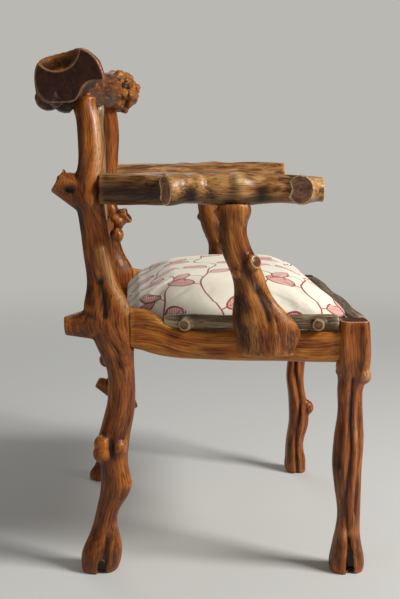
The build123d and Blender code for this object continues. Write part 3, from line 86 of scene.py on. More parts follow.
def new_piece(name, mesh, material):
    """An object at the origin that rides on the chair and takes its finish from a slot."""
    piece = bpy.data.objects.new(name, mesh)
    bpy.context.scene.collection.objects.link(piece)
    mesh.materials.clear()
    mesh.materials.append(material)
    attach(piece, "root")
    return piece


scene = bpy.context.scene
scene.view_settings.view_transform = "Standard"

floor_paint, tree = new_material("floor_paint")
ground = add_node(tree, "ShaderNodeBsdfPrincipled", {"Base Color": linear("#C9C8C3"), "Roughness": 0.75})
haze = add_node(tree, "ShaderNodeEmission", {"Color": linear("#B9B8B3")})
place = add_node(tree, "ShaderNodeTexCoord").outputs["Object"]
away = add_node(tree, "ShaderNodeVectorMath", {0: place}, operation="LENGTH")
far = add_node(tree, "ShaderNodeMapRange", {"Value": away, "From Min": 0.7, "From Max": 3.6},
               interpolation_type="SMOOTHERSTEP")
rays = add_node(tree, "ShaderNodeLightPath")
seen_far = add_node(tree, "ShaderNodeMath", (far, rays.outputs["Is Camera Ray"]), operation="MULTIPLY")
faded = add_node(tree, "ShaderNodeMixShader", (seen_far, ground, haze))
add_node(tree, "ShaderNodeOutputMaterial", {"Surface": faded})
floor_mesh = bpy.data.meshes.new("floor")
edge = 14.0
floor_mesh.from_pydata([(-edge, -edge, 0), (edge, -edge, 0), (edge, edge, 0), (-edge, edge, 0)], [],
                       [(0, 1, 2, 3)])
floor_mesh.materials.append(floor_paint)
floor = bpy.data.objects.new("floor", floor_mesh)
scene.collection.objects.link(floor)

room = bpy.data.worlds.new("room")
scene.world = room
room.use_nodes = True
tree = room.node_tree
tree.nodes.clear()
rays = add_node(tree, "ShaderNodeLightPath")
dimmed = add_node(tree, "ShaderNodeMapRange", {"Value": rays.outputs["Is Glossy Ray"], "To Min": 0.34,
                                               "To Max": 0.10})
air = add_node(tree, "ShaderNodeBackground", {"Color": linear("#C9CACB"), "Strength": dimmed})
seen = add_node(tree, "ShaderNodeBackground", {"Color": linear("#B9B8B3"), "Strength": 1.0})
mixed = add_node(tree, "ShaderNodeMixShader", (rays.outputs["Is Camera Ray"], air, seen))
add_node(tree, "ShaderNodeOutputWorld", {"Surface": mixed})

chair_middle = Vector((0, 0, 0.45))
# Each lamp: name, place, watts, side in metres.
for name, place, watts, side in (("window_lamp", (-1.25, -2.3, 2.4), 132, 1.0),
                                 ("side_lamp", (-2.2, 2.2, 1.5), 7, 1.6),
                                 ("back_lamp", (2.4, 0.6, 2.2), 14, 1.6)):
    light = bpy.data.lights.new(name, "AREA")
    light.energy = watts
    light.size = side
    lamp = bpy.data.objects.new(name, light)
    lamp.location = place
    lamp.rotation_euler = (chair_middle - Vector(place)).to_track_quat("-Z", "Y").to_euler()
    scene.collection.objects.link(lamp)

turn, dip = radians(3.3), radians(8.55)
view_line = Vector((cos(turn) * cos(dip), -sin(turn) * cos(dip), -sin(dip)))
lens = bpy.data.cameras.new("camera")
lens.lens = 67.1
lens.sensor_width = 36
camera = bpy.data.objects.new("camera", lens)
camera.location = (-2.07, 0.114, 0.735)
camera.rotation_euler = view_line.to_track_quat("-Z", "Y").to_euler()
scene.collection.objects.link(camera)
scene.camera = camera

# ---- back posts ----------------------------------------------------------------------------
# Each is one crooked bough, barked, scraped, stained and waxed. Its branches are lopped to stubs,
# and its tenon is pegged into the crest. Its ridges are gold, partly from handling and partly as
# painted highlight, and its hollows and its shadow side are dark with painted shade.


def merged(node):
    """A copy of a node's mesh with its loose triangles joined."""
    shape = bmesh.new()
    shape.from_mesh(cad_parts[node].data)
    bmesh.ops.remove_doubles(shape, verts=shape.verts, dist=1e-5)
    return shape


def lopped_faces(shape):
    """The flat faces of a bough: the one that each triangle is in, and for each sawn one its rim."""
    flat, sharp_bend = 0.9998, 0.85  # cosines of the angle between two triangles
    smallest, roundest = 6e-5, 4 * np.pi  # a sawn face's area, and a circle's length squared over area
    round_enough, sharp_enough = 0.5, 0.6  # shares of a circle's roundness and of the length round it
    shape.faces.ensure_lookup_table()
    group_of, faces = {}, []
    for first in shape.faces:
        if first.index in group_of:
            continue
        group, edge, waiting = [first], [], [first]
        group_of[first.index] = len(faces)
        while waiting:
            face = waiting.pop()
            for side in face.edges:
                others = [f for f in side.link_faces if f is not face]
                if others and others[0].normal.dot(first.normal) > flat:
                    if others[0].index not in group_of:
                        group_of[others[0].index] = len(faces)
                        group.append(others[0])
                        waiting.append(others[0])
                elif others:
                    edge.append((side, others[0].normal.dot(first.normal)))
        area = sum(face.calc_area() for face in group)
        length = sum(side.calc_length() for side, _ in edge)
        sharp = sum(side.calc_length() for side, bend in edge if bend < sharp_bend)
        is_round = roundest * area > round_enough * length ** 2
        is_lopped = area > smallest and is_round and sharp > sharp_enough * length
        rim = [side.verts[0].co.lerp(side.verts[1].co, step / 4) for side, _ in edge for step in range(4)]
        faces.append(rim if is_lopped else None)
    return group_of, faces


def drift(points, size, seed):
    """Smooth noise between -1 and 1 that changes over a size, which may differ along each axis."""
    grid = points / np.asarray(size)
    base = np.floor(grid).astype(int)
    part = grid - base
    part = part * part * (3 - 2 * part)
    table = np.random.default_rng(seed).uniform(-1, 1, (32, 32, 32))
    total = np.zeros(len(points))
    for corner in product((0, 1), repeat=3):
        weight = np.prod(np.where(corner, part, 1 - part), axis=1)
        cell = (base + corner) % 32
        total += weight * table[cell[:, 0], cell[:, 1], cell[:, 2]]
    return total


def horns(points, size, seed):
    """Pointed lumps crowded together: 1 at a lump's tip, falling to 0 in the creases between."""
    grid = points / size
    base = np.floor(grid).astype(int)
    table = np.random.default_rng(seed).uniform(0.12, 0.88, (16, 16, 16, 3))
    nearest = np.full(len(points), 9.0)
    for step in product((-1, 0, 1), repeat=3):
        cell = base + step
        tip = cell + table[cell[:, 0] % 16, cell[:, 1] % 16, cell[:, 2] % 16]
        nearest = np.minimum(nearest, np.linalg.norm(grid - tip, axis=1))
    return np.clip(1 - nearest / 0.8, 0, 1)


def read_points(mesh):
    """A mesh's vertices, vertex normals and edges as arrays."""
    points = np.empty(len(mesh.vertices) * 3)
    mesh.vertices.foreach_get("co", points)
    normals = np.empty(len(mesh.vertices) * 3)
    mesh.vertex_normals.foreach_get("vector", normals)
    edges = np.empty(len(mesh.edges) * 2, dtype=int)
    mesh.edges.foreach_get("vertices", edges)
    return points.reshape(-1, 3), normals.reshape(-1, 3), edges.reshape(-1, 2)


def neighbour_mean(values, edges):
    """The mean of each vertex's neighbours."""
    total = np.zeros_like(values)
    np.add.at(total, edges[:, 0], values[edges[:, 1]])
    np.add.at(total, edges[:, 1], values[edges[:, 0]])
    count = np.bincount(edges.ravel(), minlength=len(values))
    return total / (count[:, None] if values.ndim > 1 else count)


def settled_mesh(holder):
    """An object's mesh with its modifiers worked out."""
    return bpy.data.meshes.new_from_object(holder.evaluated_get(bpy.context.evaluated_depsgraph_get()))


def remeshed(shape, name, voxel):
    """A bmesh turned into one even skin."""
    mesh = bpy.data.meshes.new(name)
    shape.to_mesh(mesh)
    holder = bpy.data.objects.new(name, mesh)
    scene.collection.objects.link(holder)
    remesh = holder.modifiers.new("skin", "REMESH")
    remesh.mode = "VOXEL"
    remesh.voxel_size = voxel
    bpy.context.view_layer.update()
    skin = settled_mesh(holder)
    bpy.data.objects.remove(holder)
    bpy.data.meshes.remove(mesh)
    return skin


def store(mesh, name, values):
    """Keep a number or a vector for each vertex."""
    kind = "FLOAT_VECTOR" if values.ndim > 1 else "FLOAT"
    layer = mesh.attributes.new(name, kind, "POINT")
    layer.data.foreach_set("vector" if values.ndim > 1 else "value", values.astype(np.float32).ravel())


def reach_from(points, path, radius):
    """How many radii each point lies from a place, or from the path through several."""
    points, path = points / np.array(radius), np.atleast_2d(path) / np.array(radius)
    reach = np.linalg.norm(points - path[0], axis=1)
    for start, step in zip(path, np.diff(path, axis=0)):
        along_step = np.clip((points - start) @ step / (step @ step), 0, 1)
        reach = np.minimum(reach, np.linalg.norm(points - start - along_step[:, None] * step, axis=1))
    return reach


def carve(node, along, way=1, voxel=0.0022, flutes=(0.016, 0.14, 0.0012), swell=(0.05, 0.0015),
          marks=(), burls=(), stains=(), seed=1):
    """Turn a node's plain solid into a scraped bough, with what its wood needs as attributes.

    along is the axis that the bough follows, and way is -1 where marks and stains are mirrored.
    flutes are the width, length and depth of its ridges, and swell the size and height of its slow
    lumps. marks are single lumps and hollows, burls are gnarled places, and the last list paints light:
    painted shade above zero, and painted highlights, gold and then pale, below zero. Each entry of
    the three lists is (place or path, radius, amount), in millimetres.
    """
    shape = merged(node)
    group_of, faces = lopped_faces(shape)
    tree = BVHTree.FromBMesh(shape)
    skin = remeshed(shape, node + "_skin", voxel)
    shape.free()
    points, normals, edges = read_points(skin)

    # rounded unions: only concave creases fill, so sawn edges stay crisp
    fillings, full_pull, each_fill = 40, 0.10 * voxel, 0.6
    for _ in range(fillings):
        pull = neighbour_mean(points, edges) - points
        outward = np.einsum("ij,ij->i", pull, normals)
        points += pull * np.clip(outward / full_pull, 0, 1)[:, None] * each_fill
    points += 0.5 * (neighbour_mean(points, edges) - points)

    # which points are on a sawn face, and how far they are from its edge
    searched, far_off = 0.05, 0.02
    rims = KDTree(sum(len(rim) for rim in faces if rim) + 1)
    rims.insert((99, 99, 99), 0)  # so that a bough with no sawn face has a nearest rim too
    for rim in faces:
        for place in rim or ():
            rims.insert(place, 0)
    rims.balance()
    inside = np.full(len(points), -far_off)
    ring = np.zeros(len(points))
    hearts = {i: sum(rim, Vector()) / len(rim) for i, rim in enumerate(faces) if rim}
    for i, point in enumerate(points):
        distance = rims.find(point)[2]
        if distance < searched:
            place, _, index, _ = tree.find_nearest(point)
            group = group_of.get(index)
            on_face = group in hearts
            inside[i] = distance if on_face else -min(distance, far_off)
            if on_face:
                ring[i] = (Vector(point) - hearts[group]).length

    # the bough straightened: two numbers across it and one along it
    lengthways = "xyz".index(along)
    across = [axis for axis in range(3) if axis != lengthways]
    run = points[:, lengthways]
    start, step, evenings = run.min(), 0.01, 12
    count = int((run.max() - start) / step) + 2
    bins = ((run - start) / step).astype(int)
    heart = np.array([[np.median(points[bins == b][:, axis]) if (bins == b).any() else np.nan
                       for axis in across] for b in range(count)])
    heart = np.array([np.interp(np.arange(count), np.flatnonzero(~np.isnan(column)),
                                column[~np.isnan(column)]) for column in heart.T]).T
    for _ in range(evenings):
        heart[1:-1] = (heart[:-2] + 2 * heart[1:-1] + heart[2:]) / 4
    offset = np.stack([points[:, axis] - np.interp(run, start + step * (np.arange(count) + 0.5), heart[:, i])
                       for i, axis in enumerate(across)], axis=1)
    angle = np.arctan2(offset[:, 1], offset[:, 0])
    limb = np.stack([offset[:, 0], offset[:, 1], run], axis=1)

    # ridges along the bough, slow lumps, and single marks
    width, length, depth = flutes
    usual_radius, plain_edge, saw_marks, saw_depth = 0.024, 0.006, 0.004, 0.0004
    around = usual_radius / width
    ridge_space = np.stack([np.cos(angle) * around, np.sin(angle) * around, run / length], axis=1)
    ridges = 1 - 2 * np.abs(drift(ridge_space, 1, seed)) - 0.6 * np.abs(drift(ridge_space * 2.3, 1, seed + 1))
    lumps = drift(points, swell[0], seed + 2)
    off_cut = np.clip(-inside / plain_edge, 0, 1)
    move = (depth * (ridges - 0.35) + swell[1] * lumps) * off_cut
    move += np.where(inside > 0, saw_depth * drift(points, saw_marks, seed + 3), 0)
    here = points * (1000 * way, 1000, 1000)
    for path, radius, height in marks:
        move += height / 1000 * np.exp(-(reach_from(here, path, radius) ** 2))
    gnarl = 2.2 * horns(points, 0.027, seed + 4) + 0.45 * horns(points, 0.010, seed + 5) - 0.9
    gnarl -= 0.5 * np.abs(drift(points, (0.030, 0.014, 0.009), seed + 6))
    for path, radius, height in burls:
        move += height / 1000 * np.exp(-(reach_from(here, path, radius) ** 4)) * gnarl
    # painted shade above zero and painted highlights below it, at the given places
    stain = np.zeros(len(points))
    for path, radius, amount in stains:
        stain += amount * np.exp(-(reach_from(here, path, radius) ** 2))
    points += normals * move[:, None]

    # ridges above zero lighten as wear and painted highlight,
    # hollows below it darken as painted shade
    full_relief, smoothings, softenings = 0.0010, 14, 3
    skin.vertices.foreach_set("co", points.ravel())
    skin.update()
    points, normals, edges = read_points(skin)
    smooth = points
    for _ in range(smoothings):
        smooth = neighbour_mean(smooth, edges)
    wear_and_shading = np.einsum("ij,ij->i", points - smooth, normals) / full_relief
    for _ in range(softenings):
        wear_and_shading = neighbour_mean(wear_and_shading, edges)
    for name, values in (("limb", limb), ("wear_and_shading", np.clip(wear_and_shading, -1.5, 1.5)), ("inside", inside),
                         ("ring", ring), ("stain", np.clip(stain, -1.6, 1))):
        store(skin, name, values)
    skin.polygons.foreach_set("use_smooth", [True] * len(skin.polygons))
    return skin


def drawn_out(tree, place, sizes_mm, detail, roughness=0.55, seed=0.0):
    """Noise with a real size along each axis."""
    scale = [1000 / size for size in sizes_mm]
    drawn = add_node(tree, "ShaderNodeMapping", {"Vector": place, "Scale": scale, "Location": (seed,) * 3})
    return add_node(tree, "ShaderNodeTexNoise", {"Vector": drawn, "Scale": 1.0, "Detail": detail,
                                                 "Roughness": roughness})


def painted(tree, colour, layers):
    """Lay shades over a colour. Each has its pattern, the values between which it comes in, how much
    of it shows at most, and its hex colour."""
    for pattern, starts, full, most, shade in layers:
        amount = add_node(tree, "ShaderNodeMapRange", {"Value": pattern, "From Min": starts,
                                                       "From Max": full, "To Max": most})
        colour = add_node(tree, "ShaderNodeMix", {0: amount, 6: colour, 7: linear(shade)}, data_type="RGBA")
    return colour


def finished_with(tree, finish):
    """End a material in one lit surface."""
    surface = add_node(tree, "ShaderNodeBsdfPrincipled", finish)
    add_node(tree, "ShaderNodeOutputMaterial", {"Surface": surface})


def bough_wood(name, deep, body, bright, heart="#5A2E18", rim="#B98A5A", patch="#45190A", streaks=0.62):
    """Stained and waxed wood, seen lengthways on the bough and end on where it is sawn.

    Grain, streaks and patches run along the straightened bough. rim is the pale sapwood round a
    sawn face and heart the wood inside it; rim is also the pale of painted highlights. Painted light
    lies over the wood: ridges go bright as wear and painted highlight, hollows go deep as painted
    shade, and painted shade and painted highlights are laid where the carving put them. The grain is
    1.7 mm wide, as coarse as it needs to show.
    """
    material, tree = new_material(name)
    limb, wear_and_shading, inside, ring, stain = [
        add_node(tree, "ShaderNodeAttribute", attribute_name=held).outputs[output]
        for held, output in (("limb", "Vector"), ("wear_and_shading", "Fac"), ("inside", "Fac"), ("ring", "Fac"),
                             ("stain", "Fac"))]

    # Each pattern: its width and length along the bough in millimetres, its detail and its seed.
    patches, glow, grain, dashes, furrows = [
        drawn_out(tree, limb, (width, width, length), detail, seed=seed)
        for width, length, detail, seed in ((26, 80, 3, 3.1), (11, 60, 3, 9.4), (1.7, 51, 3, 7.7),
                                            (2.04, 18.7, 1, 21.3), (4.42, 78.2, 3, 33.9))]
    # Over the wood's own tone: ridges bright as wear and painted highlight, hollows deep as painted shade,
    # and the carved-in painted highlights bright then pale and painted shade deep.
    colour = painted(tree, linear(body), [
        (patches, 0.40, 0.60, 1.0, patch), (glow, 0.48, 0.70, 0.80, bright),
        (grain, 0.46, 0.72, 0.45, bright), (wear_and_shading, 0.25, 1.3, 0.60, bright),
        (stain, -0.05, -1.0, 0.85, bright), (stain, -0.9, -1.6, 0.75, rim),
        (grain, 0.50, 0.34, 0.55, deep), (furrows, 0.56, 0.72, streaks, deep),
        (dashes, 0.63, 0.71, streaks, deep), (wear_and_shading, -0.10, -0.85, 0.92, deep),
        (stain, 0.05, 1.0, 0.94, deep)])

    # end grain: rings about the heart, sapwood at the edge and a dark line of bark outside it
    ring_turns, waver = 900.0, 14.0
    turns = add_node(tree, "ShaderNodeMath", (ring, ring_turns), operation="MULTIPLY")
    turns = add_node(tree, "ShaderNodeMath", (patches, waver, turns), operation="MULTIPLY_ADD")
    rings = add_node(tree, "ShaderNodeMath", {0: turns}, operation="SINE")
    end_grain = painted(tree, linear(heart), [
        (rings, -1.4, 1, 0.30, deep), (glow, 0.45, 0.62, 0.5, deep), (inside, 0.0034, 0.0018, 1.0, rim)])
    sawn = add_node(tree, "ShaderNodeMapRange", {"Value": inside, "From Min": -0.0004, "From Max": 0.0008})
    colour = add_node(tree, "ShaderNodeMix", {0: sawn, 6: colour, 7: end_grain}, data_type="RGBA")

    height = add_node(tree, "ShaderNodeMath", (grain, furrows), operation="SUBTRACT")
    bump = add_node(tree, "ShaderNodeBump", {"Height": height, "Strength": 0.55, "Distance": 0.0012})
    dull = add_node(tree, "ShaderNodeMapRange", {"Value": grain, "From Min": 0.3, "From Max": 0.8,
                                                 "To Min": 0.30, "To Max": 0.50})
    finished_with(tree, {"Base Color": colour, "Roughness": dull, "Normal": bump,
                         "Specular IOR Level": 0.26, "Coat Weight": 0.14, "Coat Roughness": 0.14})
    return material


def bough(name, node, wood, slot, along, **carving):
    """Carve a node's bough and put it in the node's place."""
    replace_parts(new_piece(name, carve(node, along, **carving), wood), node)


post_wood = bough_wood("polished_post_bough", deep="#150803", body="#76370F", bright="#B0651F")
post_marks = {
    "right": [
        ((-280, 221, 643), (20, 9, 6), -7), ((-262, 233, 681), 6, 9),
        ([(-275, 170, 545), (-280, 162, 523), (-283, 152, 491), (-283, 139, 466),
          (-280, 127, 446)], (20, 6, 6), 4),
        ([(-283, 173, 495), (-283, 166, 462), (-283, 164, 440)], (20, 9, 9), -6.5),
        ([(-283, 150, 400), (-280, 146, 360)], (20, 8, 8), -3), ((-280, 172, 217), (14, 12, 16), 3),
        ((-280, 142, 217), (12, 9, 11), 2), ((-280, 157, 216), (20, 3.5, 16), -4),
        ((-278, 134, 151), 14, 4), ([(-282, 172, 0), (-282, 168, 40), (-280, 166, 60)], (20, 7, 10), -5),
    ],
    "left": [
        ([(240, 160, 575), (235, 152, 545), (235, 146, 512)], 9, 5), ((235, 170, 530), (20, 6, 9), -6),
    ],
}
post_burls = {
    "right": [((-262, 232, 672), (30, 14, 20), 4)],
    "left": [((250, 145, 552), 30, 5)],
}
# Painted shading: dark above zero is painted shade in the hollows and creases, down the shadow side and at
# the foot; gold and pale below zero are painted highlights on the ridges, the lumps, a hollow's lit floor and
# the upper front edge, and at the lower stub's end its pale sapwood as well.
post_stains = {
    "right": [
        ((-280, 221, 643), (20, 12, 8), 1.0),
        ([(-270, 206, 640), (-270, 204, 560), (-270, 196, 480)], (20, 8, 10), 0.8),
        ([(-283, 172, 490), (-283, 170, 460)], (20, 7, 10), 0.3), ((-283, 162, 440), (20, 10, 10), -0.9),
        ([(-275, 170, 545), (-283, 152, 491), (-280, 127, 446)], (30, 9, 10), -2.0),
        ((-280, 157, 200), (20, 22, 5), 0.5), ((-282, 227, 436), (30, 8, 14), -1.4),
        ([(-283, 205, 450), (-283, 190, 450)], (30, 12, 6), -1.0), ((-280, 176, 226), (30, 10, 8), -1.1),
        ((-278, 134, 158), (30, 11, 9), -1.1),
        ([(-255, 174, 765), (-265, 172, 715), (-275, 172, 670)], (40, 9, 20), -1.6),
        ([(-262, 196, 760), (-275, 190, 690)], (30, 12, 20), -0.5),
        ([(-280, 190, 190), (-280, 196, 100)], (30, 12, 20), 0.7), ((-280, 172, 10), (20, 30, 30), 0.5),
    ],
    "left": [
        ((240, 155, 530), 22, -0.6), ((235, 170, 530), 10, 1.0),
    ],
}
for side, seed in (("right", 11), ("left", 29)):
    bough("post_" + side, "back_post_" + side, post_wood, "polished_bough", "z", marks=post_marks[side],
          burls=post_burls[side], stains=post_stains[side], seed=seed)

# ---- front legs ----------------------------------------------------------------------------
# Crooked boughs with long flutes, hewn square at the top where the rails enter, and with feet
# that the carver split like hooves. Same stain and wax as the posts.

leg_wood = bough_wood("polished_leg_bough", deep="#150803", body="#7A3811", bright="#AE6428")
leg_marks = {
    "right": [
        ([(-300, -238, 330), (-300, -235, 266), (-300, -239, 215), (-300, -230, 129),
          (-300, -236, 60)], (20, 4.5, 8), -4.5),
        ([(-300, -254, 310), (-300, -252, 210), (-300, -248, 110)], (20, 4, 8), -3.5),
        ([(-300, -223, 290), (-300, -219, 190)], (20, 4, 8), -3),
        ([(-300, -242, 0), (-300, -240, 55)], (30, 6, 10), -8.5), ((-300, -257, 341), (10, 6, 7), 5),
        ((-290, -213, 352), (24, 10, 20), 6),
    ],
    "left": [
        ([(257, -222, 320), (257, -224, 227), (257, -242, 161), (257, -228, 94),
          (257, -233, 0)], (20, 5, 8), -6.5),
        ([(257, -240, 300), (257, -238, 200), (257, -250, 140)], (20, 4, 8), -3),
    ],
}
# Painted shading: dark above zero is painted shade in the grooves, down the shadow side and in the foot's
# cleft; gold and pale below zero are painted highlights on the block, the ridges, the knot and the foot.
leg_stains = {
    "right": [
        ((-300, -240, 385), (30, 30, 30), -0.55),
        ([(-300, -245, 290), (-300, -246, 190)], (20, 4, 10), -0.8),
        ([(-300, -238, 330), (-300, -235, 266), (-300, -239, 215), (-300, -230, 129)], (20, 4, 8), 0.25),
        ((-300, -249, 244), (30, 12, 20), -1.1), ((-300, -231, 66), (30, 12, 12), -1.1),
        ([(-300, -212, 340), (-300, -212, 100)], (20, 8, 10), 0.7),
        ([(-300, -242, 0), (-300, -240, 45)], (20, 5, 10), 0.5), ((-300, -261, 340), (30, 10, 12), -2.2),
        ([(-300, -228, 75), (-300, -256, 70)], (20, 8, 10), -0.7),
    ],
    "left": [
        ([(257, -222, 320), (257, -224, 227), (257, -242, 161), (257, -228, 94),
          (257, -233, 0)], (20, 5, 8), 0.4),
        ([(257, -236, 240), (257, -252, 170), (257, -240, 100)], (20, 6, 10), -0.7),
    ],
}
for side, seed in (("right", 5), ("left", 43)):
    bough("leg_" + side, "front_leg_" + side, leg_wood, "polished_bough", "z",
          flutes=(0.017, 0.34, 0.0026), marks=leg_marks[side], stains=leg_stains[side], seed=seed)

# ---- seat rails ----------------------------------------------------------------------------
# Boughs hewn to a rounded oblong. The adze followed the grain, which shows as dark dashes.

rail_wood = bough_wood("hewn_rail_bough", deep="#2A1006", body="#A65616", bright="#CB8636",
                       patch="#7E390E", streaks=0.5)
for name, along, seed in (("side_seat_rail_right", "y", 3), ("side_seat_rail_left", "y", 17),
                          ("front_seat_rail", "x", 23), ("back_seat_rail", "x", 31)):
    bough(name + "_bough", name, rail_wood, "polished_bough", along, flutes=(0.012, 0.16, 0.0007),
          swell=(0.06, 0.0007), seed=seed)

# ---- thin boughs ---------------------------------------------------------------------------
# Hazel-thick rods, darker and greyer, their shoots lopped. Three are nailed along the rails' outer
# edges, and three stand in sockets between the lower back rail and the crest.

thin_wood = bough_wood("waxed_thin_bough", deep="#1B110A", body="#6B563E", bright="#B09673",
                       patch="#42301F", heart="#8A6446", rim="#B29670")
for name, along, seed in (("seat_twig_right", "y", 7), ("seat_twig_left", "y", 8),
                          ("seat_twig_front", "x", 9), ("back_twig_right", "z", 61),
                          ("back_twig_middle", "z", 62), ("back_twig_left", "z", 63)):
    bough(name + "_bough", name, thin_wood, "thin_bough", along, voxel=0.0016,
          flutes=(0.010, 0.10, 0.0006), swell=(0.03, 0.0006), seed=seed)

# ---- arms ----------------------------------------------------------------------------------
# Thick forked boughs. Their tops are gold, partly from hand polish and partly as painted highlight,
# their back halves and undersides are dark with painted shade, and the lopped fork keeps a pale
# rim of sapwood round a reddish heart.

arm_wood = bough_wood("handled_arm_bough", deep="#150803", body="#7C471C", bright="#C89458",
                      patch="#43200F", heart="#AE7B5C", rim="#DDBF8E", streaks=0.45)
arm_marks = [
    ((-325, 12, 650), (30, 13, 30), 3.5), ((-325, -16, 636), (30, 12, 20), 3),
    ((-325, -50, 652), (30, 12, 30), 4.5), ((-325, -34, 660), (30, 7, 20), -1.6),
    ((-325, 36, 645), (30, 12, 30), -4.5), ((-325, -82, 645), (30, 16, 30), -5),
]
# Painted shading: dark above zero is painted shade on the back half, along the underside and in the two dips;
# gold and pale below zero are painted highlights on the tops and the lumps.
arm_stains = [
    ([(-300, 165, 642), (-310, 85, 638)], (40, 22, 26), 0.95),
    ([(-335, 50, 620), (-335, -100, 620)], (30, 20, 12), 1.0), ((-335, 26, 640), (30, 10, 16), 0.9),
    ((-335, -84, 640), (30, 12, 18), 0.9), ((-335, -20, 660), (30, 34, 14), -0.8),
    ((-335, 52, 655), (30, 12, 18), -0.5), ((-320, -172, 657), (30, 16, 10), -1.3),
    ((-325, 28, 660), (30, 7, 9), -1.3), ((-325, -48, 660), (30, 7, 12), -1.3),
    ((-325, -82, 664), (30, 10, 7), -1.2),
]
for side, way, seed in (("right", 1, 13), ("left", -1, 37)):
    bough("arm_bough_" + side, "arm_" + side, arm_wood, "arm_bough", "y", way=way,
          flutes=(0.014, 0.18, 0.0011), marks=arm_marks, stains=arm_stains, seed=seed)

# ---- arm supports --------------------------------------------------------------------------
# A crooked bough under each arm. Its broad foot laps the rail and is screwed from inside.

support_wood = bough_wood("polished_support_bough", deep="#190A04", body="#7E3F14", bright="#B97633")
support_marks = [
    ([(-318, -84, 485), (-322, -94, 462), (-322, -100, 440)], (20, 10, 12), -6),
    ([(-312, -70, 530), (-318, -100, 485), (-320, -122, 455)], (20, 7, 8), 3),
    ((-325, -66, 438), (20, 14, 14), 3.5), ((-312, -37, 514), 6, 4.5),
    ([(-312, -60, 520), (-318, -66, 470)], (20, 6, 10), 2),
]
# Painted shading: dark above zero is painted shade in the hollow between the ridges and down the back side;
# gold and pale below zero are painted highlights on the ridges, the foot's lump and the bud.
support_stains = [
    ([(-318, -84, 485), (-322, -94, 462), (-322, -98, 450)], (20, 7, 10), 0.9),
    ([(-312, -70, 530), (-318, -100, 485), (-320, -122, 455)], (20, 6, 8), -1.3),
    ([(-322, -122, 455), (-326, -142, 425)], (20, 8, 8), -1.2), ((-325, -66, 436), (20, 14, 14), -0.7),
    ((-312, -37, 514), 7, -1.0), ([(-320, -45, 470), (-322, -48, 400)], (20, 10, 10), 0.8),
    ([(-310, -24, 600), (-310, -26, 540)], (20, 8, 10), 0.6),
]
for side, way, seed in (("right", 1, 19), ("left", -1, 41)):
    bough("support_" + side, "arm_support_" + side, support_wood, "polished_bough", "z", way=way,
          flutes=(0.020, 0.16, 0.0016), marks=support_marks, stains=support_stains, seed=seed)

# ---- crest and lower back rail --------------------------------------------------------------
# A heavy burled bough across the posts' tops, sawn to a kidney face at one end and left as a
# knobbly burl at the other, and a thinner bough below it.

crest_wood = bough_wood("burled_crest_bough", deep="#130704", body="#5E2D12", bright="#A8682C",
                        patch="#33150A", heart="#3A1B0F", rim="#7A5A3E")
crest_burls = [
    ((240, 145, 815), (85, 65, 65), 7.5), ((-255, 235, 785), (45, 50, 18), 6),
]
# Painted shading: gold on the far burl's top and on the top at the kidney end is painted highlight; under the
# kidney end it is dark bark deepened with painted shade, and under the crest by the post it is painted shade.
crest_stains = [
    ((215, 140, 835), (80, 65, 45), -0.8), ((-255, 235, 775), (65, 75, 26), 1.0),
    ((-270, 236, 862), (50, 50, 25), -0.6), ((-275, 190, 790), 20, 0.8),
]
for node, seed in (("crest_rail", 53), ("lower_back_rail", 57)):
    bough(node + "_bough", node, crest_wood, "crest_bough", "x", flutes=(0.020, 0.10, 0.0018),
          burls=crest_burls, stains=crest_stains, seed=seed)

# ---- seat pad ------------------------------------------------------------------------------
# Horsehair and felt under printed cotton, pulled tight over the edges of the seat frame. It
# swells in the middle and rolls a little over the rails.

# The seat frame's front and back edges, and its half width at each.
frame_front, frame_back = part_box("seat_frame_front")[0][1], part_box("seat_frame_back")[1][1]
half_front, half_back = 0.2590, 0.2356
frame_middle = (frame_front + frame_back) / 2


def seat_ring(height, sides, front, back, back_of_sides, corner=0.064, arc=9, straight=14):
    """A level line round the seat, drawn in from the frame's edges, always of as many points."""
    near, far = frame_front + front, frame_back - back
    wide, narrow = half_front - sides, half_back - back_of_sides
    corner = min(corner, 0.45 * (far - near), 0.9 * narrow)
    corners = [Vector(c) for c in ((-wide, near), (wide, near), (narrow, far), (-narrow, far))]
    bends = []
    for i, here in enumerate(corners):
        back_way = (corners[i - 1] - here).normalized()
        on_way = (corners[(i + 1) % 4] - here).normalized()
        half = back_way.angle(on_way) / 2
        centre = here + (back_way + on_way).normalized() * corner / sin(half)
        first = here + back_way * corner / tan(half) - centre
        last = here + on_way * corner / tan(half) - centre
        bends.append([centre + first.slerp(last, step / arc) * corner for step in range(arc + 1)])
    ring = []
    for i, bend in enumerate(bends):
        ring += bend
        following = bends[(i + 1) % 4][0]
        ring += [bend[-1].lerp(following, step / straight) for step in range(1, straight)]
    return [(point.x, point.y, height) for point in ring]


def outward_mesh(name, points, faces):
    """A mesh whose faces point outwards, and its working copy."""
    mesh = bpy.data.meshes.new(name)
    mesh.from_pydata(points, [], faces)
    shape = bmesh.new()
    shape.from_mesh(mesh)
    bmesh.ops.recalc_face_normals(shape, faces=shape.faces)
    shape.to_mesh(mesh)
    return mesh, shape


def seat_shell(name, rows, close=True):
    """Skin a list of seat rings, closed with a point at each end or joined end to end."""
    rings = [seat_ring(*row) for row in rows]
    count = len(rings[0])
    points = [point for ring in rings for point in ring]
    loops = range(len(rings) - 1 if close else len(rings))
    faces = [(a * count + i, a * count + (i + 1) % count, b * count + (i + 1) % count, b * count + i)
             for a in loops for b in [(a + 1) % len(rings)] for i in range(count)]
    if close:
        for ring, first in ((rings[0], 0), (rings[-1], (len(rings) - 1) * count)):
            middle = len(points)
            centre = np.mean(ring, axis=0)
            points.append((centre[0], frame_middle, centre[2]))
            faces += [(first + i, first + (i + 1) % count, middle) for i in range(count)]
    return *outward_mesh(name, points, faces), rings


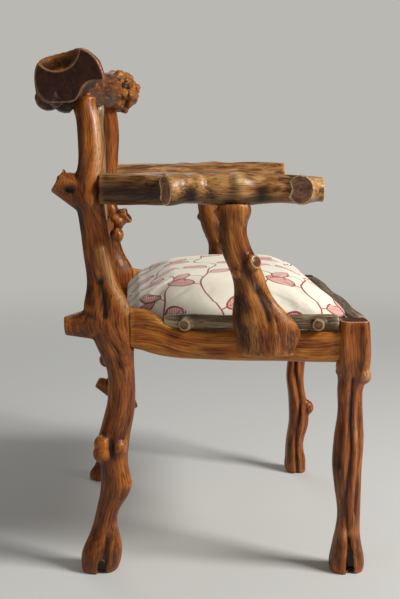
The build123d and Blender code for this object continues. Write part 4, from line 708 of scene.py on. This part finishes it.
# Rows of the pad before it swells: height, and how far it is drawn in at the sides, the front, the
# back and the back of the sides.
pad_rows = [
    (0.4310, 0.080, 0.070, 0.080, 0.080), (0.4310, 0.030, 0.022, 0.030, 0.030),
    (0.4250, 0.004, -0.004, 0.006, 0.008), (0.4215, -0.003, -0.014, 0.000, 0.003),
    (0.4290, -0.005, -0.019, -0.001, 0.003), (0.4430, -0.004, -0.012, 0.002, 0.004),
    (0.4570, 0.004, 0.002, 0.016, 0.010), (0.4690, 0.020, 0.017, 0.040, 0.028),
    (0.4780, 0.044, 0.034, 0.072, 0.052), (0.4838, 0.080, 0.062, 0.108, 0.086),
    (0.4870, 0.118, 0.094, 0.140, 0.120), (0.4885, 0.160, 0.128, 0.165, 0.150),
]
pad_start, pad_shape, pad_rings = seat_shell("pad_start", pad_rows)

# The cloth's own measure: how far each point is from the crown over the surface, and which way.
crown = np.array([0, frame_middle, 0.4889])
rows = np.array(pad_rings[::-1])
from_crown = np.concatenate([np.broadcast_to(crown, (1, *rows.shape[1:])), rows])
steps = np.linalg.norm(np.diff(from_crown, axis=0), axis=2)
travel = np.cumsum(steps, axis=0)[::-1]
bearing = np.arctan2(rows[:, :, 1] - crown[1], rows[:, :, 0])[::-1]
flat_cloth = np.stack([travel * np.cos(bearing), travel * np.sin(bearing), np.zeros_like(travel)], axis=2)
flat_cloth = np.concatenate([flat_cloth.reshape(-1, 3), [[0, 0, 0], [0, 0, 0]]])
pad_shape.verts.ensure_lookup_table()
pad_shape.faces.ensure_lookup_table()
pad_tree = BVHTree.FromBMesh(pad_shape)

# Below held_below the cloth is tacked fast, and it gives way over the last hold_fades of height.
held_below, hold_fades, most_swell, settling = 0.434, 0.004, 0.007, 20
pad_mesh = remeshed(pad_shape, "seat_pad", 0.005)
pad = bpy.data.objects.new("seat_pad", pad_mesh)
scene.collection.objects.link(pad)
before, _, _ = read_points(pad_mesh)
held = pad.vertex_groups.new(name="held")
for i, point in enumerate(before):
    if point[2] < held_below:
        held.add([i], min(1.0, (held_below - point[2]) / hold_fades), "REPLACE")
swelling = pad.modifiers.new("swelling", "CLOTH")
swelling.settings.quality = 4
swelling.settings.mass = 0.3
swelling.settings.use_pressure = True
swelling.settings.uniform_pressure_force = 4
swelling.settings.vertex_group_mass = "held"
swelling.settings.effector_weights.gravity = 0
for frame_number in range(1, settling + 1):
    scene.frame_set(frame_number)
after, _, _ = read_points(settled_mesh(pad))
scene.frame_set(1)
pad.modifiers.clear()
move = after - before
length = np.linalg.norm(move, axis=1)
before = before + move * (np.minimum(length, most_swell) / np.maximum(length, 1e-9))[:, None]
pad_mesh.vertices.foreach_set("co", before.ravel())
pad_mesh.update()
rounding = pad.modifiers.new("rounding", "SUBSURF")
rounding.levels = rounding.render_levels = 1
finished = settled_mesh(pad)
pad.modifiers.clear()
pad.data = finished
points, _, _ = read_points(finished)
cloth = np.zeros_like(points)
for i, point in enumerate(points):
    place, _, index, _ = pad_tree.find_nearest(point)
    corners = [vert.index for vert in pad_shape.faces[index].verts]
    weights = interpolate.poly_3d_calc([pad_shape.verts[c].co for c in corners], place)
    cloth[i] = sum(weight * flat_cloth[c] for weight, c in zip(weights, corners))
pad_shape.free()
store(finished, "cloth", cloth)
finished.polygons.foreach_set("use_smooth", [True] * len(finished.polygons))

# Printed cotton: vines that wander across it in dark red, with outlined leaves on short stalks,
# hatched in pink. Its plain weave is finer than can show, so two threads are drawn to 1.1 mm.
printed_cotton, tree = new_material("printed_cotton")
cloth_place = add_node(tree, "ShaderNodeAttribute", attribute_name="cloth").outputs["Vector"]
across_cloth, down_cloth = add_node(tree, "ShaderNodeSeparateXYZ", {0: cloth_place}).outputs[:2]
repeat = Vector((0.230, 0.176, 0.0))
wave_turns = 2 * np.pi / repeat.x
# The printed lines' widths and soft edge, the hatches' spacing and slant, and the weave's period.
vine_width, outline_width, tendril_width = 0.0034, 0.0029, 0.0023
stalk_width, midrib_width, soft_edge = 0.0020, 0.0014, 0.0007
hatch_room, hatch_slant, weave_period = 0.0052, -1.25, 0.0011


def stroke(distance, width):
    """1 within a line of a width, about where the distance is 0, falling to 0 past its edge."""
    off_line = add_node(tree, "ShaderNodeMath", {0: distance}, operation="ABSOLUTE")
    return add_node(tree, "ShaderNodeMapRange", {"Value": off_line, "From Min": (width + soft_edge) / 2,
                                                 "From Max": (width - soft_edge) / 2})


def repeated(x, y):
    """The cloth's own place, measured from the nearest repeat of a point."""
    place = add_node(tree, "ShaderNodeVectorMath", (cloth_place, (x, y, 0)), operation="SUBTRACT")
    return add_node(tree, "ShaderNodeVectorMath", (place, repeat / 2, -repeat / 2), operation="WRAP")


def strongest(values):
    """The largest of many numbers."""
    total = values[0]
    for value in values[1:]:
        total = add_node(tree, "ShaderNodeMath", (total, value), operation="MAXIMUM")
    return total


def threads(tree, place, period):
    """The rise and fall of a plain weave, of which two threads fill a period."""
    parts = add_node(tree, "ShaderNodeSeparateXYZ", {0: place})
    waves = []
    for axis in (0, 1):
        turns = add_node(tree, "ShaderNodeMath", (parts.outputs[axis], 2 * np.pi / period),
                         operation="MULTIPLY")
        waves.append(add_node(tree, "ShaderNodeMath", {0: turns}, operation="SINE"))
    return add_node(tree, "ShaderNodeMath", waves, operation="MULTIPLY")


# Each vine: its middle line, and the rise and phase of its wave, which has a smaller one of half
# its length on it.
vines = [(0.036, 0.016, 0.4), (0.124, 0.019, 3.3)]
harmonics = [(1, 1.0), (2, 0.4)]
vine_lines = []
for height, rise, phase in vines:
    for turns, share in harmonics:
        wave = add_node(tree, "ShaderNodeMath", (across_cloth, wave_turns * turns, phase * turns),
                        operation="MULTIPLY_ADD")
        wave = add_node(tree, "ShaderNodeMath", {0: wave}, operation="SINE")
        height = add_node(tree, "ShaderNodeMath", (wave, rise * share, height), operation="MULTIPLY_ADD")
    away = add_node(tree, "ShaderNodeMath", (down_cloth, height), operation="SUBTRACT")
    away = add_node(tree, "ShaderNodeMath", (away, repeat.y / 2, -repeat.y / 2), operation="WRAP")
    vine_lines.append(stroke(away, vine_width))

# Each leaf: its vine, place along it, heading in degrees, stalk, length, half width and tint.
leaves = [
    (0, 0.018, 58, 0.014, 0.055, 0.0160, 1.0), (0, 0.080, -46, 0.010, 0.048, 0.0130, 0.6),
    (0, 0.132, 44, 0.013, 0.058, 0.0165, 0.8), (0, 0.196, -62, 0.012, 0.050, 0.0150, 1.0),
    (1, 0.044, -38, 0.011, 0.046, 0.0125, 0.7), (1, 0.096, 52, 0.014, 0.057, 0.0170, 1.0),
    (1, 0.158, -56, 0.011, 0.050, 0.0140, 0.6), (1, 0.212, 40, 0.012, 0.052, 0.0150, 0.9),
]
lines, fills, hatches = [], [], []
for vine, x, heading, stalk, length, half_width, tint in leaves:
    middle, rise, phase = vines[vine]
    y = middle + sum(rise * share * sin(turns * (x * wave_turns + phase)) for turns, share in harmonics)
    place = add_node(tree, "ShaderNodeVectorRotate", {"Vector": repeated(x, y), "Angle": -radians(heading)},
                     rotation_type="Z_AXIS")

    # its outline: two arcs that meet at its base and its tip
    radius = (length ** 2 / 4 + half_width ** 2) / (2 * half_width)
    centred = add_node(tree, "ShaderNodeVectorMath", (place, (stalk + length / 2, 0, 0)),
                       operation="SUBTRACT")
    folded = add_node(tree, "ShaderNodeVectorMath", {0: centred}, operation="ABSOLUTE")
    lowered = add_node(tree, "ShaderNodeVectorMath", (folded, (0, radius - half_width, 0)),
                       operation="ADD")
    span = add_node(tree, "ShaderNodeVectorMath", {0: lowered}, operation="LENGTH")
    edge = add_node(tree, "ShaderNodeMath", (span, radius), operation="SUBTRACT")
    lines.append(stroke(edge, outline_width))
    within = add_node(tree, "ShaderNodeMapRange", {"Value": edge, "From Min": soft_edge / 2,
                                                   "From Max": -soft_edge / 2})
    fills.append(add_node(tree, "ShaderNodeMath", (within, tint), operation="MULTIPLY"))

    # its hatches, which slant from the midrib
    along_leaf, beside_rib = add_node(tree, "ShaderNodeSeparateXYZ", {0: centred}).outputs[:2]
    off_rib = add_node(tree, "ShaderNodeMath", {0: beside_rib}, operation="ABSOLUTE")
    slant = add_node(tree, "ShaderNodeMath", (off_rib, hatch_slant, along_leaf), operation="MULTIPLY_ADD")
    slant = add_node(tree, "ShaderNodeMath", (slant, 2 * np.pi / hatch_room), operation="MULTIPLY")
    wave = add_node(tree, "ShaderNodeMath", {0: slant}, operation="SINE")
    rib = add_node(tree, "ShaderNodeMath", (wave, 0.35), operation="GREATER_THAN")
    ribs = strongest([rib, stroke(beside_rib, midrib_width)])
    hatches.append(add_node(tree, "ShaderNodeMath", (ribs, within), operation="MULTIPLY"))

    # its stalk, from its vine to its base
    along_stalk, beside_stalk = add_node(tree, "ShaderNodeSeparateXYZ", {0: place}).outputs[:2]
    beside_stalk = add_node(tree, "ShaderNodeMath", {0: beside_stalk}, operation="ABSOLUTE")
    past = add_node(tree, "ShaderNodeMath", (along_stalk, stalk / 2), operation="SUBTRACT")
    past = add_node(tree, "ShaderNodeMath", {0: past}, operation="ABSOLUTE")
    past = add_node(tree, "ShaderNodeMath", (past, (stalk - stalk_width) / 2), operation="SUBTRACT")
    lines.append(stroke(strongest([beside_stalk, past]), stalk_width))

# Curled tendrils: the centre and the radius of each arc, and the way its open side faces, in degrees.
for x, y, radius, way in ((0.052, 0.066, 0.017, 200), (0.178, 0.072, 0.021, -20),
                          (0.010, 0.150, 0.015, 95), (0.128, 0.160, 0.019, 30)):
    place = repeated(x, y)
    span = add_node(tree, "ShaderNodeVectorMath", {0: place}, operation="LENGTH")
    facing = (cos(radians(way)), sin(radians(way)), 0)
    side = add_node(tree, "ShaderNodeVectorMath", (place, facing), operation="DOT_PRODUCT")
    curled = add_node(tree, "ShaderNodeMath", (side, radius * 0.2), operation="LESS_THAN")
    off_arc = add_node(tree, "ShaderNodeMath", (span, radius), operation="SUBTRACT")
    arc = stroke(off_arc, tendril_width)
    lines.append(add_node(tree, "ShaderNodeMath", (arc, curled), operation="MULTIPLY"))

filled = strongest(fills)
bare = add_node(tree, "ShaderNodeMath", (1.0, filled), operation="SUBTRACT")
behind = add_node(tree, "ShaderNodeMath", (strongest(vine_lines), bare), operation="MULTIPLY")
faded = add_node(tree, "ShaderNodeTexNoise", {"Vector": cloth_place, "Scale": 1000 / 22, "Detail": 3.0})
colour = painted(tree, linear("#EFE6D2"), [
    (faded, 0, 1, 0.45, "#D8D0B4"), (filled, 0, 1, 0.50, "#D98F80"),
    (strongest(hatches), 0, 1, 0.80, "#AC2F38"), (strongest([behind, *lines]), 0, 1, 0.92, "#8E1422")])
weave = add_node(tree, "ShaderNodeBump", {"Height": threads(tree, cloth_place, weave_period),
                                          "Strength": 0.18, "Distance": 0.0003})
finished_with(tree, {"Base Color": colour, "Roughness": 0.82, "Normal": weave, "Sheen Weight": 0.15})

finished.materials.append(printed_cotton)
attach(pad, "root")
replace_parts(pad, "seat_cover", "seat_stuffing")

# The cover's edge: it comes down round the frame and is turned 22 mm under it. Each row: its height
# and how far it is drawn in, all round.
hem_rows = [(height, *[inset] * 4) for height, inset in (
    (0.4280, -0.0010), (0.4028, -0.0022), (0.4018, -0.0012), (0.4018, 0.0220), (0.4038, 0.0220),
    (0.4040, 0.0004), (0.4280, 0.0004))]
hem_mesh, hem_shape, _ = seat_shell("seat_hem", hem_rows, close=False)
hem_shape.free()
points, _, _ = read_points(hem_mesh)
round_seat = points[:, 0] + points[:, 1]
store(hem_mesh, "cloth", np.stack([round_seat, points[:, 2], np.zeros_like(round_seat)], axis=1))
new_piece("seat_hem", hem_mesh, printed_cotton)

# ---- the seat frame, its webbing and hessian -------------------------------------------------
# Sawn spruce, half lapped at the corners, with two layers of jute webbing strained across it and
# coarse hessian over them. The corner braces are the same spruce. None of it is finished.


def sawn_wood(name, body, dark, turn, grain_mm=2.6):
    """Unfinished wood whose grain runs along a level line, turned from X by some degrees."""
    material, tree = new_material(name)
    place = add_node(tree, "ShaderNodeTexCoord").outputs["Object"]
    turned = add_node(tree, "ShaderNodeVectorRotate", {"Vector": place, "Angle": radians(turn)},
                      rotation_type="Z_AXIS")
    grain = drawn_out(tree, turned, (grain_mm * 34, grain_mm, grain_mm), 4.0, roughness=0.5)
    bump = add_node(tree, "ShaderNodeBump", {"Height": grain, "Strength": 0.4, "Distance": 0.0006})
    finished_with(tree, {"Base Color": painted(tree, linear(body), [(grain, 0.40, 0.68, 1.0, dark)]),
                         "Roughness": 0.72, "Normal": bump})
    return material


def woven(name, body, dark, period, stripes=()):
    """Coarse cloth of one thread size, with dark stripes.

    Each stripe has its axis, spacing and middle, and its distance on both sides of each middle.
    """
    material, tree = new_material(name)
    place = add_node(tree, "ShaderNodeTexCoord").outputs["Object"]
    parts = add_node(tree, "ShaderNodeSeparateXYZ", {0: place})
    weave = threads(tree, place, period)
    amount = add_node(tree, "ShaderNodeMapRange", {"Value": weave, "From Min": -0.6, "From Max": 0.6})
    stripe_reach = 0.0022
    for axis, spacing, middle, beside in stripes:
        across = add_node(tree, "ShaderNodeMath", (parts.outputs[axis], middle), operation="SUBTRACT")
        across = add_node(tree, "ShaderNodeMath", (across, spacing / 2, -spacing / 2), operation="WRAP")
        across = add_node(tree, "ShaderNodeMath", {0: across}, operation="ABSOLUTE")
        near = add_node(tree, "ShaderNodeMath", (across, beside, stripe_reach), operation="COMPARE")
        amount = add_node(tree, "ShaderNodeMath", (amount, near), operation="MAXIMUM")
    bump = add_node(tree, "ShaderNodeBump", {"Height": weave, "Strength": 0.6, "Distance": 0.0005})
    finished_with(tree, {"Base Color": painted(tree, linear(body), [(amount, 0, 1, 1.0, dark)]),
                         "Roughness": 0.9, "Normal": bump})
    return material


def finish_node(node, material):
    """Give a CAD node a better material."""
    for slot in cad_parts[node].material_slots:
        slot.material = material


# Spruce: each member's grain follows it. The side members lean in 3.2 degrees toward the back.
for node, turn in (("seat_frame_front", 0), ("seat_frame_back", 0), ("seat_frame_right", 93.2),
                   ("seat_frame_left", 86.8), ("corner_brace_front_right", 45),
                   ("corner_brace_front_left", -45), ("corner_brace_back_right", -45),
                   ("corner_brace_back_left", 45)):
    finish_node(node, sawn_wood("sawn_spruce_" + node, "#D9B98A", "#B08250", turn))
# Jute in a close weave, with the two dark lines that mark good webbing.
for node, name, axis, spacing, middle in (("seat_webbing_long", "jute_webbing_long", 0, 0.105, 0.0),
                                          ("seat_webbing_cross", "jute_webbing_cross", 1, 0.084,
                                           frame_middle)):
    finish_node(node, woven(name, "#B4965F", "#7C5E35", 0.0018, [(axis, spacing, middle, 0.016)]))
# Open hessian, one thread to each 2.5 mm.
finish_node("seat_hessian", woven("coarse_hessian", "#B9985F", "#6E5230", 0.0050))

# ---- pegs and pins -------------------------------------------------------------------------
# Riven oak pegs hold the tenons, and thin steel pins hold the rods on the rails. Each is driven
# home and lies flush, so only its end shows.

for node, turn in (("rail_pegs", 0), ("arm_pegs", 90), ("support_pegs", 90), ("crest_pegs", 0),
                   ("back_pegs", 90)):
    finish_node(node, sawn_wood("riven_oak_" + node, "#9A6B3C", "#5E3A1C", turn, grain_mm=1.2))


def bare_steel(name, colour, roughness):
    """Steel with a faint mottle of rust, in spots of about 2.5 mm."""
    material, tree = new_material(name)
    place = add_node(tree, "ShaderNodeTexCoord").outputs["Object"]
    mottle = add_node(tree, "ShaderNodeTexNoise", {"Vector": place, "Scale": 1000 / 2.5, "Detail": 3.0})
    shade = painted(tree, linear(colour), [(mottle, 0.56, 0.70, 0.5, "#5A3521")])
    finished_with(tree, {"Base Color": shade, "Metallic": 0.9, "Roughness": roughness})
    return material


finish_node("twig_pins", bare_steel("dark_pin_steel", "#4A4A4C", 0.5))

# ---- tacks and screws ----------------------------------------------------------------------
# Blued upholstery tacks with domed heads and tapered shanks, and slotted steel wood
# screws with a cut thread. Each stands where its CAD solid is, with its slot turned as it stopped.


def lathed(profile, sides, turned=lambda radius, z, angle: radius):
    """A closed surface of revolution about Z from (radius, height) pairs, from its top to its tip."""
    points, faces = [(0.0, 0.0, profile[0][1])], []
    for radius, z in profile:
        angles = [2 * np.pi * i / sides for i in range(sides)]
        points += [(turned(radius, z, a) * cos(a), turned(radius, z, a) * sin(a), z) for a in angles]
    points.append((0.0, 0.0, profile[-1][1]))
    last = 1 + (len(profile) - 1) * sides
    for first in range(1, last, sides):
        faces += [(first + i, first + (i + 1) % sides, first + sides + (i + 1) % sides, first + sides + i)
                  for i in range(sides)]
    faces += [(0, 1 + (i + 1) % sides, 1 + i) for i in range(sides)]
    faces += [(len(points) - 1, last + i, last + (i + 1) % sides) for i in range(sides)]
    mesh, shape = outward_mesh("lathed", points, faces)
    shape.free()
    return mesh


def tack_mesh():
    """A tack with its head's top at 1.9 mm, its seat at 0 and its tip 11 mm below."""
    dome = [(0.004 * sin(t), 0.0006 + 0.0013 * cos(t)) for t in np.linspace(0.12, np.pi / 2, 8)]
    shank = [(0.0040, 0.0002), (0.0037, 0.0), (0.0010, 0.0), (0.0008, -0.0012), (0.0006, -0.0075),
             (0.0001, -0.0110)]
    return lathed(dome + shank, 16)


def screw_mesh(length):
    """A slotted wood screw: its head reaches 3 mm above the seat at 0, its tip a length below."""
    head = [(0.0012, 0.0030), (0.0034, 0.0029), (0.0041, 0.0026), (0.00425, 0.0020), (0.00425, 0.0002),
            (0.0041, 0.0), (0.0022, 0.0), (0.0022, -length * 0.33)]
    pitch = 0.0018
    heights = np.arange(-length * 0.33 - 0.0004, -length + 0.0002, -pitch / 6)
    thread = [(0.0022 * min(1.0, (z + length) / 0.006 + 0.12), z) for z in heights]

    def cut(radius, z, angle):
        turn = (z / pitch + angle / (2 * np.pi)) % 1
        depth = 0.30 if z < -length * 0.34 else 0.0
        return radius * (1 - depth * min(1.0, 2.6 * abs(turn - 0.5)))

    mesh = lathed(head + thread, 18, cut)
    body = bpy.data.objects.new("screw_body", mesh)
    slot_mesh = bpy.data.meshes.new("slot")
    shape = bmesh.new()
    bmesh.ops.create_cube(shape, size=1.0, matrix=Matrix.Translation((0, 0, 0.0027)) @ Matrix.Diagonal(
        (0.012, 0.0011, 0.0030, 1.0)))
    shape.to_mesh(slot_mesh)
    shape.free()
    cutter = bpy.data.objects.new("slot", slot_mesh)
    for holder in (body, cutter):
        scene.collection.objects.link(holder)
    saw = body.modifiers.new("saw", "BOOLEAN")
    saw.object = cutter
    saw.operation = "DIFFERENCE"
    slotted = settled_mesh(body)
    for holder in (body, cutter):
        bpy.data.objects.remove(holder)
    return slotted


def fastener_tree():
    """Geometry nodes that stand a fastener on each point, its axis along the point's aim."""
    tree = bpy.data.node_groups.new("fasteners", "GeometryNodeTree")
    for name, kind in (("Places", "NodeSocketGeometry"), ("Fastener", "NodeSocketObject"),
                       ("Steel", "NodeSocketMaterial"), ("Seed", "NodeSocketInt")):
        tree.interface.new_socket(name, in_out="INPUT", socket_type=kind)
    tree.interface.new_socket("Fasteners", in_out="OUTPUT", socket_type="NodeSocketGeometry")
    given = add_node(tree, "NodeGroupInput").outputs
    aim = add_node(tree, "GeometryNodeInputNamedAttribute", {"Name": "aim"}, data_type="FLOAT_VECTOR")
    upright = add_node(tree, "FunctionNodeAlignRotationToVector", {"Vector": aim}, axis="Z")
    turn = add_node(tree, "FunctionNodeRandomValue", {2: 0.0, 3: 6.283, "Seed": given["Seed"]},
                    data_type="FLOAT")
    spin = add_node(tree, "FunctionNodeAxisAngleToRotation", {"Axis": (0, 0, 1), "Angle": turn})
    turned = add_node(tree, "FunctionNodeRotateRotation", {"Rotation": upright, "Rotate By": spin},
                      rotation_space="LOCAL")
    one = add_node(tree, "GeometryNodeObjectInfo", {"Object": given["Fastener"]})
    many = add_node(tree, "GeometryNodeInstanceOnPoints", {
        "Points": given["Places"], "Instance": one.outputs["Geometry"], "Rotation": turned})
    real = add_node(tree, "GeometryNodeRealizeInstances", {0: many})
    steel = add_node(tree, "GeometryNodeSetMaterial", {"Geometry": real, "Material": given["Steel"]})
    add_node(tree, "NodeGroupOutput", {0: steel})
    return tree


def heads_of(node, seat_depth):
    """The seat under each head of a node's fasteners, and the way each head faces."""
    shape = merged(node)
    waiting, seats, aims = set(shape.verts), [], []
    for first in shape.verts:
        if first not in waiting:
            continue
        waiting.discard(first)
        island = [first]
        for vert in island:  # which grows as it is read, in the same order each time
            for other in (side.other_vert(vert) for side in vert.link_edges):
                if other in waiting:
                    waiting.discard(other)
                    island.append(other)
        points = np.array([vert.co[:] for vert in island])
        middle = (points.min(axis=0) + points.max(axis=0)) / 2
        way = np.linalg.svd(points - points.mean(axis=0), full_matrices=False)[2][0]
        along = (points - middle) @ way
        off = np.linalg.norm(points - middle - along[:, None] * way, axis=1)
        if along[off.argmax()] < 0:
            way, along = -way, -along
        wide = off > 0.8 * off.max()
        heart = points[wide].mean(axis=0)
        top = heart + way * (along.max() - (heart - middle) @ way)
        seats.append(top - way * seat_depth)
        aims.append(way)
    shape.free()
    return np.array(seats), np.array(aims)


fasteners = fastener_tree()
sockets = {item.name: item.identifier for item in fasteners.interface.items_tree if item.in_out == "INPUT"}
steels = {"tack_steel": bare_steel("blued_tack_steel", "#2B2D33", 0.35),
          "screw_steel": bare_steel("drawn_screw_steel", "#A6A7A8", 0.32)}
# Each set: its node, what it is, its head's depth, and its steel, which is its material slot.
sets = [("webbing_tacks", tack_mesh(), 0.0010, "tack_steel"),
        ("hem_tacks", tack_mesh(), 0.0010, "tack_steel"),
        ("brace_screws", screw_mesh(0.034), 0.0030, "screw_steel"),
        ("support_screws", screw_mesh(0.044), 0.0030, "screw_steel"),
        ("seat_screws", screw_mesh(0.038), 0.0030, "screw_steel")]
for seed, (node, mesh, head_depth, steel) in enumerate(sets):
    seats, aims = heads_of(node, head_depth)
    places = bpy.data.meshes.new(node + "_places")
    places.from_pydata(seats.tolist(), [], [])
    store(places, "aim", aims)
    model = bpy.data.objects.new("model", mesh)
    holder = bpy.data.objects.new(node + "_set", places)
    for thing in (model, holder):
        scene.collection.objects.link(thing)
    standing = holder.modifiers.new("standing", "NODES")
    standing.node_group = fasteners
    for name, value in (("Fastener", model), ("Steel", steels[steel]), ("Seed", seed)):
        standing[sockets[name]] = value
    bpy.context.view_layer.update()
    made = settled_mesh(holder)
    for thing in (model, holder):
        bpy.data.objects.remove(thing)
    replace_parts(new_piece(node + "_set", made, steels[steel]), node)
